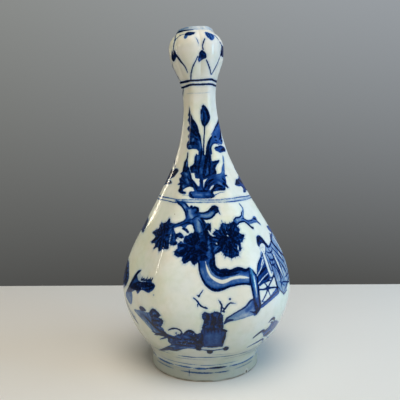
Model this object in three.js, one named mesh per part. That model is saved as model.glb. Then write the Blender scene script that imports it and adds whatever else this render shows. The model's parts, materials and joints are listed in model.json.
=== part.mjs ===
// A hexagonal garlic-mouth bottle vase in glazed porcelain.
//
// The potter forms the vase in separate sections and joins them with slip while the clay is leather-hard:
// a foot ring, a floor that drops into the belly, the lower belly, the shoulder, the neck, the lobed
// garlic bulb and the small mouth lip. Every joint is a flat ring where two sections meet face to face.
// Units are millimetres, +Z is up, and the origin is the middle of the belly, on the face that the foot
// stands on. One painted side of the hexagon faces -Y, so two of its corners lie on the X axis.

import * as THREE from "three";

// Heights of the sections, from the table up.
const FOOT_HEIGHT = 11;
const BELLY_HEIGHT = 58;
const SHOULDER_HEIGHT = 78.5;
const NECK_HEIGHT = 89.5;
const BULB_HEIGHT = 48;
const LIP_HEIGHT = 5;

// Radii of the outside, measured to a corner of the hexagon.
const FOOT_RADIUS = 47.6;
const HAUNCH_RADIUS = 63.4;
const BELLY_RADIUS = 74.5;
const COLLAR_RADIUS = 40.9;
const TAPER_RADIUS = 19.2;
const WAIST_RADIUS = 14.2;
const BULB_FLANK_RADIUS = 20.6;
const BULB_RADIUS = 23.6;
const LIP_ROOT_RADIUS = 17.8;
const LIP_RADIUS = 15.1;

// Where the stations between the joints lie, each from the joint below it or above it.
const HAUNCH_RISE = 23;
const TAPER_RISE = 48.5;
const WAIST_DROP = 5;
const BULB_FLANK_RISE = 21;
const BULB_CREST_RISE = 36.5;

// How fast the outside widens at its sloping stations, in millimetres out for each millimetre up.
const HAUNCH_FLARE = 0.54;
const COLLAR_FLARE = -0.54;
const TAPER_FLARE = -0.245;
const BULB_FLANK_FLARE = 0.47;
const LIP_ROOT_FLARE = -1.2;
const LIP_FLARE = -0.3;

// Thickness of the clay wall, and of the ridge of slip that stands proud inside each joint.
const BELLY_WALL = 6;
const SHOULDER_WALL = 5;
const NECK_WALL = 4.3;
const BULB_WALL = 4.6;
const LIP_WALL = 3.6;
const SLIP_RIDGE = 0.7;
const SLIP_RIDGE_REACH = 2.5;

// The foot ring, and the floor that it carries on a ledge inside the belly.
const FOOT_LAND_WIDTH = 4.2;
const FOOT_BEVEL = 1.3;
const FLOOR_THICKNESS = 6;
const FLOOR_LEDGE = 3;
const FLOOR_CLEARANCE = 0.3;
const FLOOR_SEAT_WALL = 7;
const FLOOR_DOME = 0.8;
const COVE_RISE = 10;

// Kiln warp: the neck leans to one side, the foot sits a little off the belly, and the head is turned and tilted.
const LEAN = 9.0;
const LEAN_RISE = 30;
const LEAN_GROWTH = 1.45;
const FOOT_OFFSET = 1.5;
const HEAD_TURN = THREE.MathUtils.degToRad(10);
const HEAD_TILT = THREE.MathUtils.degToRad(4);
const HEAD_WARP_RISE = 52;

// The bulb's cloves: their depth at the creases, and how far they fade towards the stem and the lip.
const CREASE_DEPTH = 1.9;
const CLOVE_FADE = 9;

// How square the hexagon is. A power of 4 is a circle, and a high power has flat sides and tight corners.
const ROUND = 4;
const HAUNCH_SQUARENESS = 5;
const SIDE_SQUARENESS = 12;
const LIP_SQUARENESS = 7;

// Facets round the vase, and the usual height of a facet.
const SIDES = 6;
const SEGMENTS = 60;
const RING_STEP = 9.5;

// Heights of the joints above the table.
const floorJoint = FOOT_HEIGHT;
const equator = floorJoint + BELLY_HEIGHT;
const collar = equator + SHOULDER_HEIGHT;
const stemJoint = collar + NECK_HEIGHT;
const lipJoint = stemJoint + BULB_HEIGHT;
const rim = lipJoint + LIP_HEIGHT;

// Heights of the stations between the joints.
const haunch = floorJoint + HAUNCH_RISE;
const midShoulder = equator + SHOULDER_HEIGHT / 2;
const waist = stemJoint - WAIST_DROP;
const bulbFlank = stemJoint + BULB_FLANK_RISE;
const bulbCrest = stemJoint + BULB_CREST_RISE;

// Stations of the outside: height, radius at a corner, and flare. Cubic curves join them.
const outsideStations = [
  [floorJoint, FOOT_RADIUS, 0],
  [haunch, HAUNCH_RADIUS, HAUNCH_FLARE],
  [equator, BELLY_RADIUS, 0],
  [collar, COLLAR_RADIUS, COLLAR_FLARE],
  [collar + TAPER_RISE, TAPER_RADIUS, TAPER_FLARE],
  [waist, WAIST_RADIUS, 0],
  [bulbFlank, BULB_FLANK_RADIUS, BULB_FLANK_FLARE],
  [bulbCrest, BULB_RADIUS, 0],
  [lipJoint, LIP_ROOT_RADIUS, LIP_ROOT_FLARE],
  [rim, LIP_RADIUS, LIP_FLARE],
];

// Stations of the wall's thickness: height, thickness, and slope.
const wallStations = [
  [haunch, BELLY_WALL, 0],
  [midShoulder, SHOULDER_WALL, 0],
  [waist, NECK_WALL, 0],
  [bulbCrest, BULB_WALL, 0],
  [rim, LIP_WALL, 0],
];

// Stations of the hexagon's squareness: height, power, and slope.
const squarenessStations = [
  [floorJoint, ROUND, 0],
  [haunch, HAUNCH_SQUARENESS, 0],
  [midShoulder, SIDE_SQUARENESS, 0],
  [stemJoint, SIDE_SQUARENESS, 0],
  [lipJoint, LIP_SQUARENESS, 0],
];

// The value at a height on the cubic curves through a row of stations, held level past both ends.
function along(stations, height) {
  const last = stations.length - 1;
  if (height <= stations[0][0]) return stations[0][1];
  if (height >= stations[last][0]) return stations[last][1];
  const k = stations.findIndex(([top]) => height < top);
  const [z0, v0, slope0] = stations[k - 1];
  const [z1, v1, slope1] = stations[k];
  const span = z1 - z0;
  const t = (height - z0) / span;
  const a = 2 * t ** 3 - 3 * t ** 2 + 1;
  const b = t ** 3 - 2 * t ** 2 + t;
  const c = 3 * t ** 2 - 2 * t ** 3;
  const d = t ** 3 - t ** 2;
  return a * v0 + b * span * slope0 + c * v1 + d * span * slope1;
}

const outside = (height) => along(outsideStations, height);

// The inside follows the outside at the wall's thickness, with a ridge of slip at each joint.
function inside(height) {
  const ridge = [equator, collar, stemJoint, lipJoint]
    .map((joint) => Math.exp(-(((height - joint) / SLIP_RIDGE_REACH) ** 2)))
    .reduce((sum, share) => sum + share, 0);
  return outside(height) - along(wallStations, height) - SLIP_RIDGE * ridge;
}

// How far the middle of the vase has moved along X at a height.
function shiftAt(height) {
  const leanStart = equator + LEAN_RISE;
  const share = Math.max(0, (height - leanStart) / (rim - leanStart));
  const foot = 1 - THREE.MathUtils.smoothstep(height, floorJoint + FLOOR_THICKNESS, haunch);
  return -LEAN * share ** LEAN_GROWTH - FOOT_OFFSET * foot;
}

function turnAt(height) {
  return HEAD_TURN * THREE.MathUtils.smoothstep(height, collar + HEAD_WARP_RISE, bulbCrest);
}

// How far the clay rises for each millimetre along X at a height: the head tips towards the side it leans to.
function tiltAt(height) {
  return Math.tan(HEAD_TILT * THREE.MathUtils.smoothstep(height, collar + HEAD_WARP_RISE, rim));
}

// The radius of a hexagon with soft corners, as a share of its radius at a corner.
// Angle 0 is a corner, and the three pairs of sides face 30, 90 and 150 degrees.
function hexagonShare(angle, power) {
  const faces = [30, 90, 150].map((side) => THREE.MathUtils.degToRad(side));
  const reach = (direction) => {
    const sum = faces.reduce((s, face) => s + Math.abs(Math.cos(direction - face)) ** power, 0);
    return sum ** (-1 / power);
  };
  return reach(angle) / reach(0);
}

// The radius of a ring of cloves, as a share: each is an arc, and they meet in creases between the corners.
function cloveShare(angle) {
  const pitch = (2 * Math.PI) / SIDES;
  const offset = angle / pitch - Math.round(angle / pitch);
  return 1 - (CREASE_DEPTH / BULB_RADIUS) * (2 * offset) ** 2;
}

// The section is a hexagon below the bulb and at the lip, and a ring of cloves between them.
function sectionShare(angle, height) {
  const up = THREE.MathUtils.smoothstep(height, stemJoint + CLOVE_FADE, stemJoint + 2 * CLOVE_FADE);
  const down = THREE.MathUtils.smoothstep(rim - height, 0, CLOVE_FADE);
  const hexagon = hexagonShare(angle, along(squarenessStations, height));
  return THREE.MathUtils.lerp(hexagon, cloveShare(angle), up * down);
}

// Turns a profile of [radius, height] points into a six-sided ring or disc on the vase's leaning axis.
function section(name, profile, material) {
  const points = profile.map(([radius, height]) => new THREE.Vector2(radius, height));
  const geometry = new THREE.LatheGeometry(points, SEGMENTS);
  geometry.rotateX(Math.PI / 2);
  const place = geometry.attributes.position;
  for (let i = 0; i < place.count; i += 1) {
    const height = place.getZ(i);
    const angle = Math.atan2(place.getY(i), place.getX(i));
    const radius = Math.hypot(place.getX(i), place.getY(i)) * sectionShare(angle, height);
    const turned = angle + turnAt(height);
    const across = radius * Math.cos(turned);
    place.setXYZ(i, across + shiftAt(height), radius * Math.sin(turned), height + across * tiltAt(height));
  }
  geometry.computeVertexNormals();
  const mesh = new THREE.Mesh(geometry, material);
  mesh.name = name;
  return mesh;
}

// Heights from one joint to the next, in even steps, both ends included.
function steps(from, to, step = RING_STEP) {
  const count = Math.max(2, Math.round((to - from) / step));
  return Array.from({ length: count + 1 }, (_, i) => from + ((to - from) * i) / count);
}

// Inner rings of a section: both joints, the places where the slip ridges die away, and wide steps between.
function innerSteps(from, to) {
  const reach = 1.5 * SLIP_RIDGE_REACH;
  return [from, ...steps(from + reach, to - reach, RING_STEP * 1.4), to];
}

// A hollow section: its outside from the bottom up, then its inside from the top down, closed on itself.
function shell(outerHeights, innerHeights, innerRadius = inside) {
  const outer = outerHeights.map((height) => [outside(height), height]);
  const inner = innerHeights.map((height) => [innerRadius(height), height]).reverse();
  return [...outer, ...inner, outer[0]];
}

const glaze = new THREE.MeshStandardMaterial({ color: 0xd9dcd2, roughness: 0.12, metalness: 0 });
const footGlaze = new THREE.MeshStandardMaterial({ color: 0xcfd0c4, roughness: 0.2, metalness: 0 });

const floorSeat = FOOT_RADIUS - FLOOR_SEAT_WALL;
const floorLedge = floorSeat - FLOOR_LEDGE;

// The foot ring stands on a narrow flat land, and its top carries the belly and the floor.
function footRing() {
  const landOuter = FOOT_RADIUS - FOOT_BEVEL;
  const landInner = landOuter - FOOT_LAND_WIDTH;
  const landOuterCorner = FOOT_RADIUS - FOOT_BEVEL / 4;
  const profile = [
    [landOuter, 0],
    [landOuterCorner, FOOT_BEVEL],
    [FOOT_RADIUS, FOOT_HEIGHT / 2],
    [FOOT_RADIUS, FOOT_HEIGHT],
    [floorLedge, FOOT_HEIGHT],
    [(floorLedge + landInner) / 2, FOOT_HEIGHT / 2],
    [landInner - FOOT_BEVEL / 2, FOOT_BEVEL],
    [landInner, 0],
    [landOuter, 0],
  ];
  return section("foot_ring", profile, footGlaze);
}

// The floor is domed up a little underneath, so that only the foot ring touches the table.
function baseFloor() {
  const edge = floorSeat - FLOOR_CLEARANCE;
  const top = floorJoint + FLOOR_THICKNESS;
  const profile = [
    [0, floorJoint + FLOOR_DOME],
    [floorLedge / 2, floorJoint + FLOOR_DOME * 0.75],
    [floorLedge, floorJoint],
    [edge, floorJoint],
    [edge, top],
    [edge / 2, top],
    [0, top],
  ];
  return section("base_floor", profile, footGlaze);
}

// The lower belly has a straight seat for the floor, then a cove that opens out to the wall.
function lowerBelly() {
  const seatTop = floorJoint + FLOOR_THICKNESS;
  const coveTop = seatTop + COVE_RISE;
  const innerRadius = (height) => {
    if (height <= seatTop) return floorSeat;
    if (height >= coveTop) return inside(height);
    const share = (height - seatTop) / COVE_RISE;
    const bend = Math.sqrt(1 - (1 - share) ** 2);
    return THREE.MathUtils.lerp(floorSeat, inside(coveTop), bend);
  };
  const cove = steps(seatTop, coveTop, COVE_RISE / 3);
  const wall = innerSteps(coveTop, equator).slice(1);
  const profile = shell(steps(floorJoint, equator, RING_STEP * 0.7), [floorJoint, ...cove, ...wall], innerRadius);
  return section("lower_belly", profile, glaze);
}

function shoulder() {
  return section("shoulder", shell(steps(equator, collar), innerSteps(equator, collar)), glaze);
}

function neck() {
  return section("neck", shell(steps(collar, stemJoint), innerSteps(collar, stemJoint)), glaze);
}

function garlicBulb() {
  const profile = shell(steps(stemJoint, lipJoint, RING_STEP * 0.4), innerSteps(stemJoint, lipJoint));
  return section("garlic_bulb", profile, glaze);
}

// The lip is a short collar with a softened edge.
function mouthLip() {
  const softening = LIP_WALL / 4;
  const edgeHeight = rim - softening;
  const middle = (lipJoint + edgeHeight) / 2;
  const profile = [
    [outside(lipJoint), lipJoint],
    [outside(middle), middle],
    [outside(edgeHeight), edgeHeight],
    [outside(rim) - softening, rim],
    [inside(rim) + softening, rim],
    [inside(rim), edgeHeight],
    [inside(lipJoint), lipJoint],
    [outside(lipJoint), lipJoint],
  ];
  return section("mouth_lip", profile, glaze);
}

const vase = new THREE.Group();
vase.add(footRing(), baseFloor(), lowerBelly(), shoulder(), neck(), garlicBulb(), mouthLip());

export default vase;
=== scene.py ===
# %% [markdown]
# A hexagonal garlic-mouth vase in blue and white porcelain.
#
# The construction of the vase is already fixed: seven sections of clay with flat joints between them.
# This lesson gives it its looks. It makes a fine skin for each section, paints the skin in cobalt blue as
# a potter's painter does, lays a glossy glaze over the painting, and lights it softly. Lengths are in
# millimetres until a mesh is made.

# %% The fixed frame
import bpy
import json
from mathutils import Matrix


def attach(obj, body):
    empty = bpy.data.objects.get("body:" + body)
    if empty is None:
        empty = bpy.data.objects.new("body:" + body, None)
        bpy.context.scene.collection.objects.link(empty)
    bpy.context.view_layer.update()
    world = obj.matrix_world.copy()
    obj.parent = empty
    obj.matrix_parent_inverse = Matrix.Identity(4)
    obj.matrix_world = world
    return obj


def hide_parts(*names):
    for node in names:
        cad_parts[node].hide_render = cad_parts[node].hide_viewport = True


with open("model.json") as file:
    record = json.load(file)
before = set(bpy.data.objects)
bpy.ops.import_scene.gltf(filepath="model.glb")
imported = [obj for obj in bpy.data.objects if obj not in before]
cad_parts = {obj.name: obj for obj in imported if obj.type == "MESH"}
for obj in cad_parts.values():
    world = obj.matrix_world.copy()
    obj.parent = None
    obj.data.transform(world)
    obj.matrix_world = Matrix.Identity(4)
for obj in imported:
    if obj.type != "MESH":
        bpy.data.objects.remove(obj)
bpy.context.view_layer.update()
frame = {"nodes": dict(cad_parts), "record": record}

import json
import math

import bpy
import numpy as np
from mathutils import Vector

print("sections:", sorted(frame["nodes"]))

# %% [markdown]
# The camera comes first, because everything else is seen through it. The photograph was taken by hand
# from about one and a half heights away, level with the middle of the neck and looking slightly down. The
# picture is square, and its whole width is the width of the sensor.

# %% The camera
PICTURE_WIDTH = 400
FOCAL_PIXELS = 495
SENSOR_MM = 36
EYE = Vector((-0.0048, -0.4333, 0.1918))
LOOK_DOWN = math.radians(6.21)
HAND_TILT = math.radians(0.3)
LOOK_LEFT = math.radians(0.03)


def put_in_scene(name, data):
    item = bpy.data.objects.new(name, data)
    bpy.context.scene.collection.objects.link(item)
    return item


eye = bpy.data.cameras.new("eye")
eye.sensor_width = SENSOR_MM
eye.lens = SENSOR_MM * FOCAL_PIXELS / PICTURE_WIDTH
eye_stand = put_in_scene("eye", eye)
eye_stand.location = EYE
eye_stand.rotation_euler = (math.pi / 2 - LOOK_DOWN, HAND_TILT, LOOK_LEFT)
bpy.context.scene.camera = eye_stand
print("lens", round(eye.lens, 2), "mm")

# %% [markdown]
# The clay wall. A pressed bottle has an outline that changes from round at the foot to a hexagon with
# soft corners, and to a ring of cloves at the head. A few stations give the radius at a corner, and cubic
# curves join them, so the skin can be made as fine as the painting needs. A lathe or a subdivided cage
# would also do, but a formula gives the true place and slope at every height, and the painting can use
# the same formula.

# %% Heights and radii of the sections
MM = 0.001
FOOT_TOP = 11
EQUATOR = 69
COLLAR = 147.5
STEM_JOINT = 237
LIP_JOINT = 285
RIM = 290
HAUNCH = 34
MID_SHOULDER = (EQUATOR + COLLAR) / 2
WAIST = 232
BULB_CREST = 273.5
BULB_RADIUS = 23.6

# Each station is a height, the value at that height, and the slope of the value there.
outside_stations = [
    (FOOT_TOP, 47.6, 0),
    (HAUNCH, 63.4, 0.54),
    (EQUATOR, 74.5, 0),
    (COLLAR, 40.9, -0.54),
    (196, 19.2, -0.245),
    (WAIST, 14.2, 0),
    (258, 20.6, 0.47),
    (BULB_CREST, BULB_RADIUS, 0),
    (LIP_JOINT, 17.8, -1.2),
    (RIM, 15.1, -0.3),
]
wall_stations = [
    (HAUNCH, 6, 0), (MID_SHOULDER, 5, 0), (WAIST, 4.3, 0), (BULB_CREST, 4.6, 0), (RIM, 3.6, 0),
]
squareness_stations = [
    (FOOT_TOP, 4, 0), (HAUNCH, 5, 0), (MID_SHOULDER, 12, 0), (STEM_JOINT, 12, 0), (LIP_JOINT, 7, 0),
]


def along(stations, height):
    """The value at a height on the cubic curves through a row of stations, held level past both ends."""
    knots, values, slopes = (np.array(part, float) for part in zip(*stations))
    level = np.clip(np.asarray(height, float), knots[0], knots[-1])
    k = np.clip(np.searchsorted(knots, level, side="right") - 1, 0, len(knots) - 2)
    span = knots[k + 1] - knots[k]
    t = (level - knots[k]) / span
    ends = (2 * t**3 - 3 * t**2 + 1) * values[k] + (3 * t**2 - 2 * t**3) * values[k + 1]
    bends = (t**3 - 2 * t**2 + t) * slopes[k] + (t**3 - t**2) * slopes[k + 1]
    return ends + bends * span


def smooth(value, low, high):
    """0 below low and 1 above high, with a smooth step between them."""
    t = np.clip((np.asarray(value, float) - low) / (high - low), 0, 1)
    return t * t * (3 - 2 * t)


def outside(height):
    return along(outside_stations, height)


print("widest radius", float(outside(EQUATOR)), "mm at", EQUATOR, "mm")

# %% [markdown]
# Pressed and hand-joined clay is never true. The neck leans, the head is turned and tipped a little, the
# foot sits off the middle, and the walls have shallow waves where the maker scraped them. The waves go
# inward only, so the skin never grows past the construction. They are made in the mesh and not as bump,
# because they bend every reflection.

# %% The warp and the waves
CLOVE_DEPTH = 1.9
CLOVE_FADE = 9
LEAN = 9.0
LEAN_START = 99
LEAN_GROWTH = 1.45
FOOT_OFFSET = 1.5
HEAD_TURN = math.radians(10)
HEAD_TILT = math.radians(4)
HEAD_WARP_START = COLLAR + 52
FLOOR_TOP = 17
SIDES = 6
SHALLOWEST = 0.10
LIP_CALM = 6
# Each wave is its depth in millimetres, its count round the vase, its bend per millimetre, and its phase.
WAVES = (
    (0.05, 3, 0.045, 0.4),
    (0.035, 5, -0.08, 1.9),
    (0.025, 2, 0.19, 4.1),
    (0.012, 7, 0.33, 2.6),
    (0.008, 1, 0.62, 5.2),
)


def section_share(angle, height):
    """The radius of the section at an angle, as a share of its radius at a corner."""
    power = along(squareness_stations, height)

    def reach(direction):
        total = 0
        for face in (30, 90, 150):
            total = total + np.abs(np.cos(direction - math.radians(face))) ** power
        return total ** (-1 / power)

    hexagon = reach(angle) / reach(0 * angle)
    pitch = 2 * math.pi / SIDES
    offset = angle / pitch - np.round(angle / pitch)
    clove = 1 - CLOVE_DEPTH / BULB_RADIUS * (2 * offset) ** 2
    up = smooth(height, STEM_JOINT + CLOVE_FADE, STEM_JOINT + 2 * CLOVE_FADE)
    down = smooth(RIM - np.asarray(height, float), 0, CLOVE_FADE)
    return hexagon + (clove - hexagon) * up * down


def warped(angle, radius, height):
    """Places in millimetres, as (..., 3), of angles, corner radii and heights on the leaning vase."""
    angle, radius, height = np.broadcast_arrays(angle, radius, height)
    reach = radius * section_share(angle, height)
    turned = angle + HEAD_TURN * smooth(height, HEAD_WARP_START, BULB_CREST)
    tilt = np.tan(HEAD_TILT * smooth(height, HEAD_WARP_START, RIM))
    lean = -LEAN * np.clip((height - LEAN_START) / (RIM - LEAN_START), 0, None) ** LEAN_GROWTH
    lean = lean - FOOT_OFFSET * (1 - smooth(height, FLOOR_TOP, HAUNCH))
    across = reach * np.cos(turned)
    return np.stack([across + lean, reach * np.sin(turned), height + tilt * across], -1)


def waves(angle, height):
    """How far the scraped wall lies inside its true line, in millimetres."""
    depth = SHALLOWEST
    for amount, count, bend, phase in WAVES:
        depth = depth + amount * (1 + np.sin(count * angle + bend * height + phase))
    return depth * smooth(height, FOOT_TOP, HAUNCH) * (1 - smooth(height, LIP_JOINT - LIP_CALM, LIP_JOINT))


deepest = waves(np.linspace(0, 2 * math.pi, 400)[None], np.linspace(40, 240, 400)[:, None]).max()
print("deepest wave", round(float(deepest), 2), "mm")

# %% [markdown]
# A skin is a grid of rows and columns. Its outside rows are close together, because the cobalt painting
# is kept on the points of the mesh. Its inside rows are wide apart, since only bare glaze shows there.
# The normals come from the neighbours in the grid, and one row past each joint is counted too, so that
# the glaze runs over the joints without a break.

# %% Building a ring of clay
COLUMNS = {
    "foot_ring": 660, "lower_belly": 660, "shoulder": 660,
    "neck": 400, "garlic_bulb": 360, "mouth_lip": 360,
}
ROW_STEP = {
    "foot_ring": 0.35, "lower_belly": 0.62, "shoulder": 0.62,
    "neck": 0.5, "garlic_bulb": 0.42, "mouth_lip": 0.3,
}
INNER_STEP = 6.5
SLIP_REACH = 2.5
SLIP_HEIGHT = 0.7
FLOOR_SEAT = 40.6
COVE_TOP = 27
LAYERS = ("wash", "ink")
FAR = 9.0
PLAIN_TONE = 0.5
FRONT = math.radians(90)
canvas = {}
pieces = {}


def column_angles(name):
    """The columns start and end at the middle of the back. Their angle from the front is called turn."""
    turn = -180 + 360 * np.arange(COLUMNS[name]) / COLUMNS[name]
    return turn, np.radians(turn) - FRONT


def even(low, high, step):
    return np.linspace(low, high, max(2, round((high - low) / step)) + 1)


def inside(height):
    """The inner wall, with a low ridge of slip at each joint."""
    ridge = 0
    for joint in (EQUATOR, COLLAR, STEM_JOINT, LIP_JOINT):
        ridge = ridge + np.exp(-(((height - joint) / SLIP_REACH) ** 2))
    return outside(height) - along(wall_stations, height) - SLIP_HEIGHT * ridge


def belly_inside(height):
    """The seat of the floor, then a cove that opens out to the wall."""
    share = np.clip((height - FLOOR_TOP) / (COVE_TOP - FLOOR_TOP), 0, 1)
    cove = FLOOR_SEAT + (inside(COVE_TOP) - FLOOR_SEAT) * np.sqrt(1 - (1 - share) ** 2)
    return np.where(height >= COVE_TOP, inside(height), cove)


def grid_normals(points, closed_rows):
    """A normal for each point of a grid (rows, columns, 3), whose columns go all the way round."""
    across = np.roll(points, -1, 1) - np.roll(points, 1, 1)
    if closed_rows:
        up = np.roll(points, -1, 0) - np.roll(points, 1, 0)
    else:
        up = np.gradient(points, axis=0)
    normal = np.cross(across, up)
    return normal / np.maximum(np.linalg.norm(normal, axis=-1, keepdims=True), 1e-12)


def skin(angle, heights, radius_at, wavy):
    """Points and normals of one face of a wall, with the slope taken past both ends."""
    step = heights[1] - heights[0]
    longer = np.concatenate([[heights[0] - step], heights, [heights[-1] + step]])[:, None]
    radius = radius_at(longer) + 0 * angle[None]
    if wavy:
        radius = radius - waves(angle[None], longer)
    points = warped(angle[None], radius, longer)
    normals = grid_normals(points, False)
    return points[1:-1], normals[1:-1]


def ring_mesh(name, points, normals):
    """A closed ring from a grid whose last row joins its first."""
    rows, columns = points.shape[:2]
    index = np.arange(rows * columns).reshape(rows, columns)
    after = np.roll(index, -1, 1)
    quads = np.stack([index, after, np.roll(after, -1, 0), np.roll(index, -1, 0)], -1).reshape(-1, 4)
    mesh = bpy.data.meshes.new(name)
    mesh.vertices.add(rows * columns)
    mesh.vertices.foreach_set("co", (points * MM).ravel())
    mesh.loops.add(quads.size)
    mesh.loops.foreach_set("vertex_index", quads.ravel())
    mesh.polygons.add(len(quads))
    mesh.polygons.foreach_set("loop_start", np.arange(0, quads.size, 4))
    mesh.polygons.foreach_set("use_smooth", np.ones(len(quads), bool))
    mesh.update(calc_edges=True)
    mesh.validate()
    mesh.normals_split_custom_set_from_vertices(normals.reshape(-1, 3))
    return put_in_scene(name, mesh)


def add_canvas(name, heights, turn):
    """The painted part of a piece: its first rows, from the bottom up."""
    shape = (len(heights), len(turn))
    canvas[name] = {"turn": turn, "height": heights}
    for layer in LAYERS:
        canvas[name][layer + "_edge"] = np.full(shape, FAR)
        canvas[name][layer + "_tone"] = np.full(shape, PLAIN_TONE)


def wall_piece(name, low, high, inner=inside):
    turn, angle = column_angles(name)
    outer_heights = even(low, high, ROW_STEP[name])
    inner_heights = even(low, high, INNER_STEP)
    outer, outer_normals = skin(angle, outer_heights, outside, True)
    inner_face, inner_normals = skin(angle, inner_heights, inner, False)
    points = np.concatenate([outer, inner_face[::-1]])
    normals = np.concatenate([outer_normals, -inner_normals[::-1]])
    pieces[name] = ring_mesh(name + "_skin", points, normals)
    add_canvas(name, outer_heights, turn)
    print(name, len(outer_heights), "rows of", len(turn), "points")


wall_piece("lower_belly", FOOT_TOP, EQUATOR, belly_inside)
wall_piece("shoulder", EQUATOR, COLLAR)
wall_piece("neck", COLLAR, STEM_JOINT)
wall_piece("garlic_bulb", STEM_JOINT, LIP_JOINT)

# %% [markdown]
# The foot ring and the lip are rings with rounded edges, so their outline is drawn as a chain of straight
# runs and arcs. The foot is wiped clean of glaze on its land, and the lip is a short collar whose edge
# was softened with a wet leather.

# %% The foot ring, the lip and the floor
LAND_INNER = 42.1
FOOT_EDGE = 1.3
LAND_EDGE = 0.8
LEDGE = 37.6
LIP_SOFTENING = 1.5
FLOOR_GAP = 0.3
FLOOR_BEVEL = 0.5
DOME = 0.8
HUB = 2


def arc(centre, size, start, end, count=7):
    """Points on a quarter ellipse or so, from one angle to another in degrees."""
    turns = np.radians(np.linspace(start, end, count))
    return [(centre[0] + size[0] * math.cos(t), centre[1] + size[1] * math.sin(t)) for t in turns]


def run(start, end, step):
    count = max(2, round(math.dist(start, end) / step))
    return [tuple(np.add(start, np.subtract(end, start) * k / count)) for k in range(1, count)]


def turned_ring(name, profile, painted):
    """A ring from a closed outline of (radius, height). The first painted rows go up the outside."""
    turn, angle = column_angles(name)
    radius, height = (np.array(part, float)[:, None] for part in zip(*profile))
    points = warped(angle[None], radius + 0 * angle[None], height)
    pieces[name] = ring_mesh(name + "_skin", points, grid_normals(points, True))
    add_canvas(name, height[:painted, 0], turn)
    print(name, len(profile), "rows")


def foot_outline():
    foot = float(outside(FOOT_TOP))
    outer_edge = arc((foot - FOOT_EDGE, FOOT_EDGE), (FOOT_EDGE, FOOT_EDGE), -90, 0)
    wall = run((foot, FOOT_EDGE), (foot, FOOT_TOP), ROW_STEP["foot_ring"])
    outer = outer_edge + wall + [(foot, FOOT_TOP)]
    top = run((foot, FOOT_TOP), (LEDGE, FOOT_TOP), step=3) + [(LEDGE, FOOT_TOP)]
    inner = run((LEDGE, FOOT_TOP), (LAND_INNER - LAND_EDGE, FOOT_EDGE), step=1.2)
    inner_edge = arc((LAND_INNER, FOOT_EDGE), (LAND_EDGE, FOOT_EDGE), 180, 270)
    land = run((LAND_INNER, 0), (foot - FOOT_EDGE, 0), step=0.6)
    return outer + top + inner + inner_edge + land, len(outer)


def lip_outline():
    top = RIM - LIP_SOFTENING
    outer = [(float(outside(z)), z) for z in even(LIP_JOINT, top, ROW_STEP["mouth_lip"])]
    inner_radius = float(inside(RIM))
    outer_radius = float(outside(top))
    middle = (outer_radius + inner_radius) / 2
    half = (outer_radius - inner_radius) / 2
    edge = arc((middle, top), (half, LIP_SOFTENING), 0, 180, count=21)[1:]
    inner = [(float(inside(z)), z) for z in even(LIP_JOINT, top, 1.2)[::-1]][1:]
    return outer + edge + inner, len(outer) + len(edge) // 2


turned_ring("foot_ring", *foot_outline())
turned_ring("mouth_lip", *lip_outline())


def floor_disc():
    """A disc that is domed up a little underneath, with its middle points joined in a fan."""
    edge = FLOOR_SEAT - FLOOR_GAP
    under = [(r, FOOT_TOP + DOME * (1 - (r / LEDGE) ** 2)) for r in np.linspace(HUB, LEDGE, 10)]
    profile = under + [(edge, FOOT_TOP), (edge, FLOOR_TOP - FLOOR_BEVEL), (edge - FLOOR_BEVEL, FLOOR_TOP)]
    profile += [(r, FLOOR_TOP) for r in np.linspace(edge - 4, HUB, 8)]
    angle = np.radians(np.arange(0, 360, 3))
    radius, height = (np.array(part, float)[:, None] for part in zip(*profile))
    points = warped(angle[None], radius + 0 * angle[None], height)
    middles = [(-FOOT_OFFSET, 0, FOOT_TOP + DOME), (-FOOT_OFFSET, 0, FLOOR_TOP)]
    places = np.concatenate([points.reshape(-1, 3), middles]) * MM
    index = np.arange(points.shape[0] * points.shape[1]).reshape(points.shape[:2])
    after = np.roll(index, -1, 1)
    faces = np.stack([index[:-1], after[:-1], after[1:], index[1:]], -1).reshape(-1, 4).tolist()
    for k, (here, following) in enumerate(((after[0], index[0]), (index[-1], after[-1]))):
        faces += [(index.size + k, int(a), int(b)) for a, b in zip(here, following)]
    mesh = bpy.data.meshes.new("base_floor_disc")
    mesh.from_pydata(places.tolist(), [], faces)
    mesh.polygons.foreach_set("use_smooth", np.ones(len(faces), bool))
    mesh.set_sharp_from_angle(angle=math.radians(40))
    return put_in_scene("base_floor_disc", mesh)


pieces["base_floor"] = floor_disc()
print("pieces:", len(pieces))

# %% [markdown]
# The painter's hand. Cobalt is painted on the dry clay in two goes: a thin wash of watered pigment first,
# then ink lines and leaves over it. Each layer is kept as two numbers at every point of the skin: how far
# the point is from the edge of the nearest paint, in millimetres and negative inside it, and how much
# pigment lies there. A material can draw a clean edge from the distance even between the points, which a
# plain colour on the points could not do, and it needs no picture file.
#
# A place is given as (turn, height): degrees round from the middle of the front, to the right, and
# millimetres up.

# %% The surface laid out flat
turn_table = np.linspace(-540, 540, 4321)
share_table = section_share(np.radians(turn_table) - FRONT, MID_SHOULDER)
slope_table = np.gradient(share_table, np.radians(turn_table))
girth_table = np.cumsum(np.hypot(share_table, slope_table)) * math.radians(turn_table[1] - turn_table[0])
height_table = np.linspace(-5, 295, 1201)
climb_step = np.hypot(1, np.gradient(outside(height_table), height_table))
climb_table = np.cumsum(climb_step) * (height_table[1] - height_table[0])


def flat(turn, height, middle):
    """Millimetres to the right of the upright line at middle, and up along the wall."""
    girth = np.interp(turn, turn_table, girth_table) - np.interp(middle, turn_table, girth_table)
    return outside(height) * girth, np.interp(height, height_table, climb_table)


print("round the belly:", round(float(flat(180, EQUATOR, -180)[0])), "mm")

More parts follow.
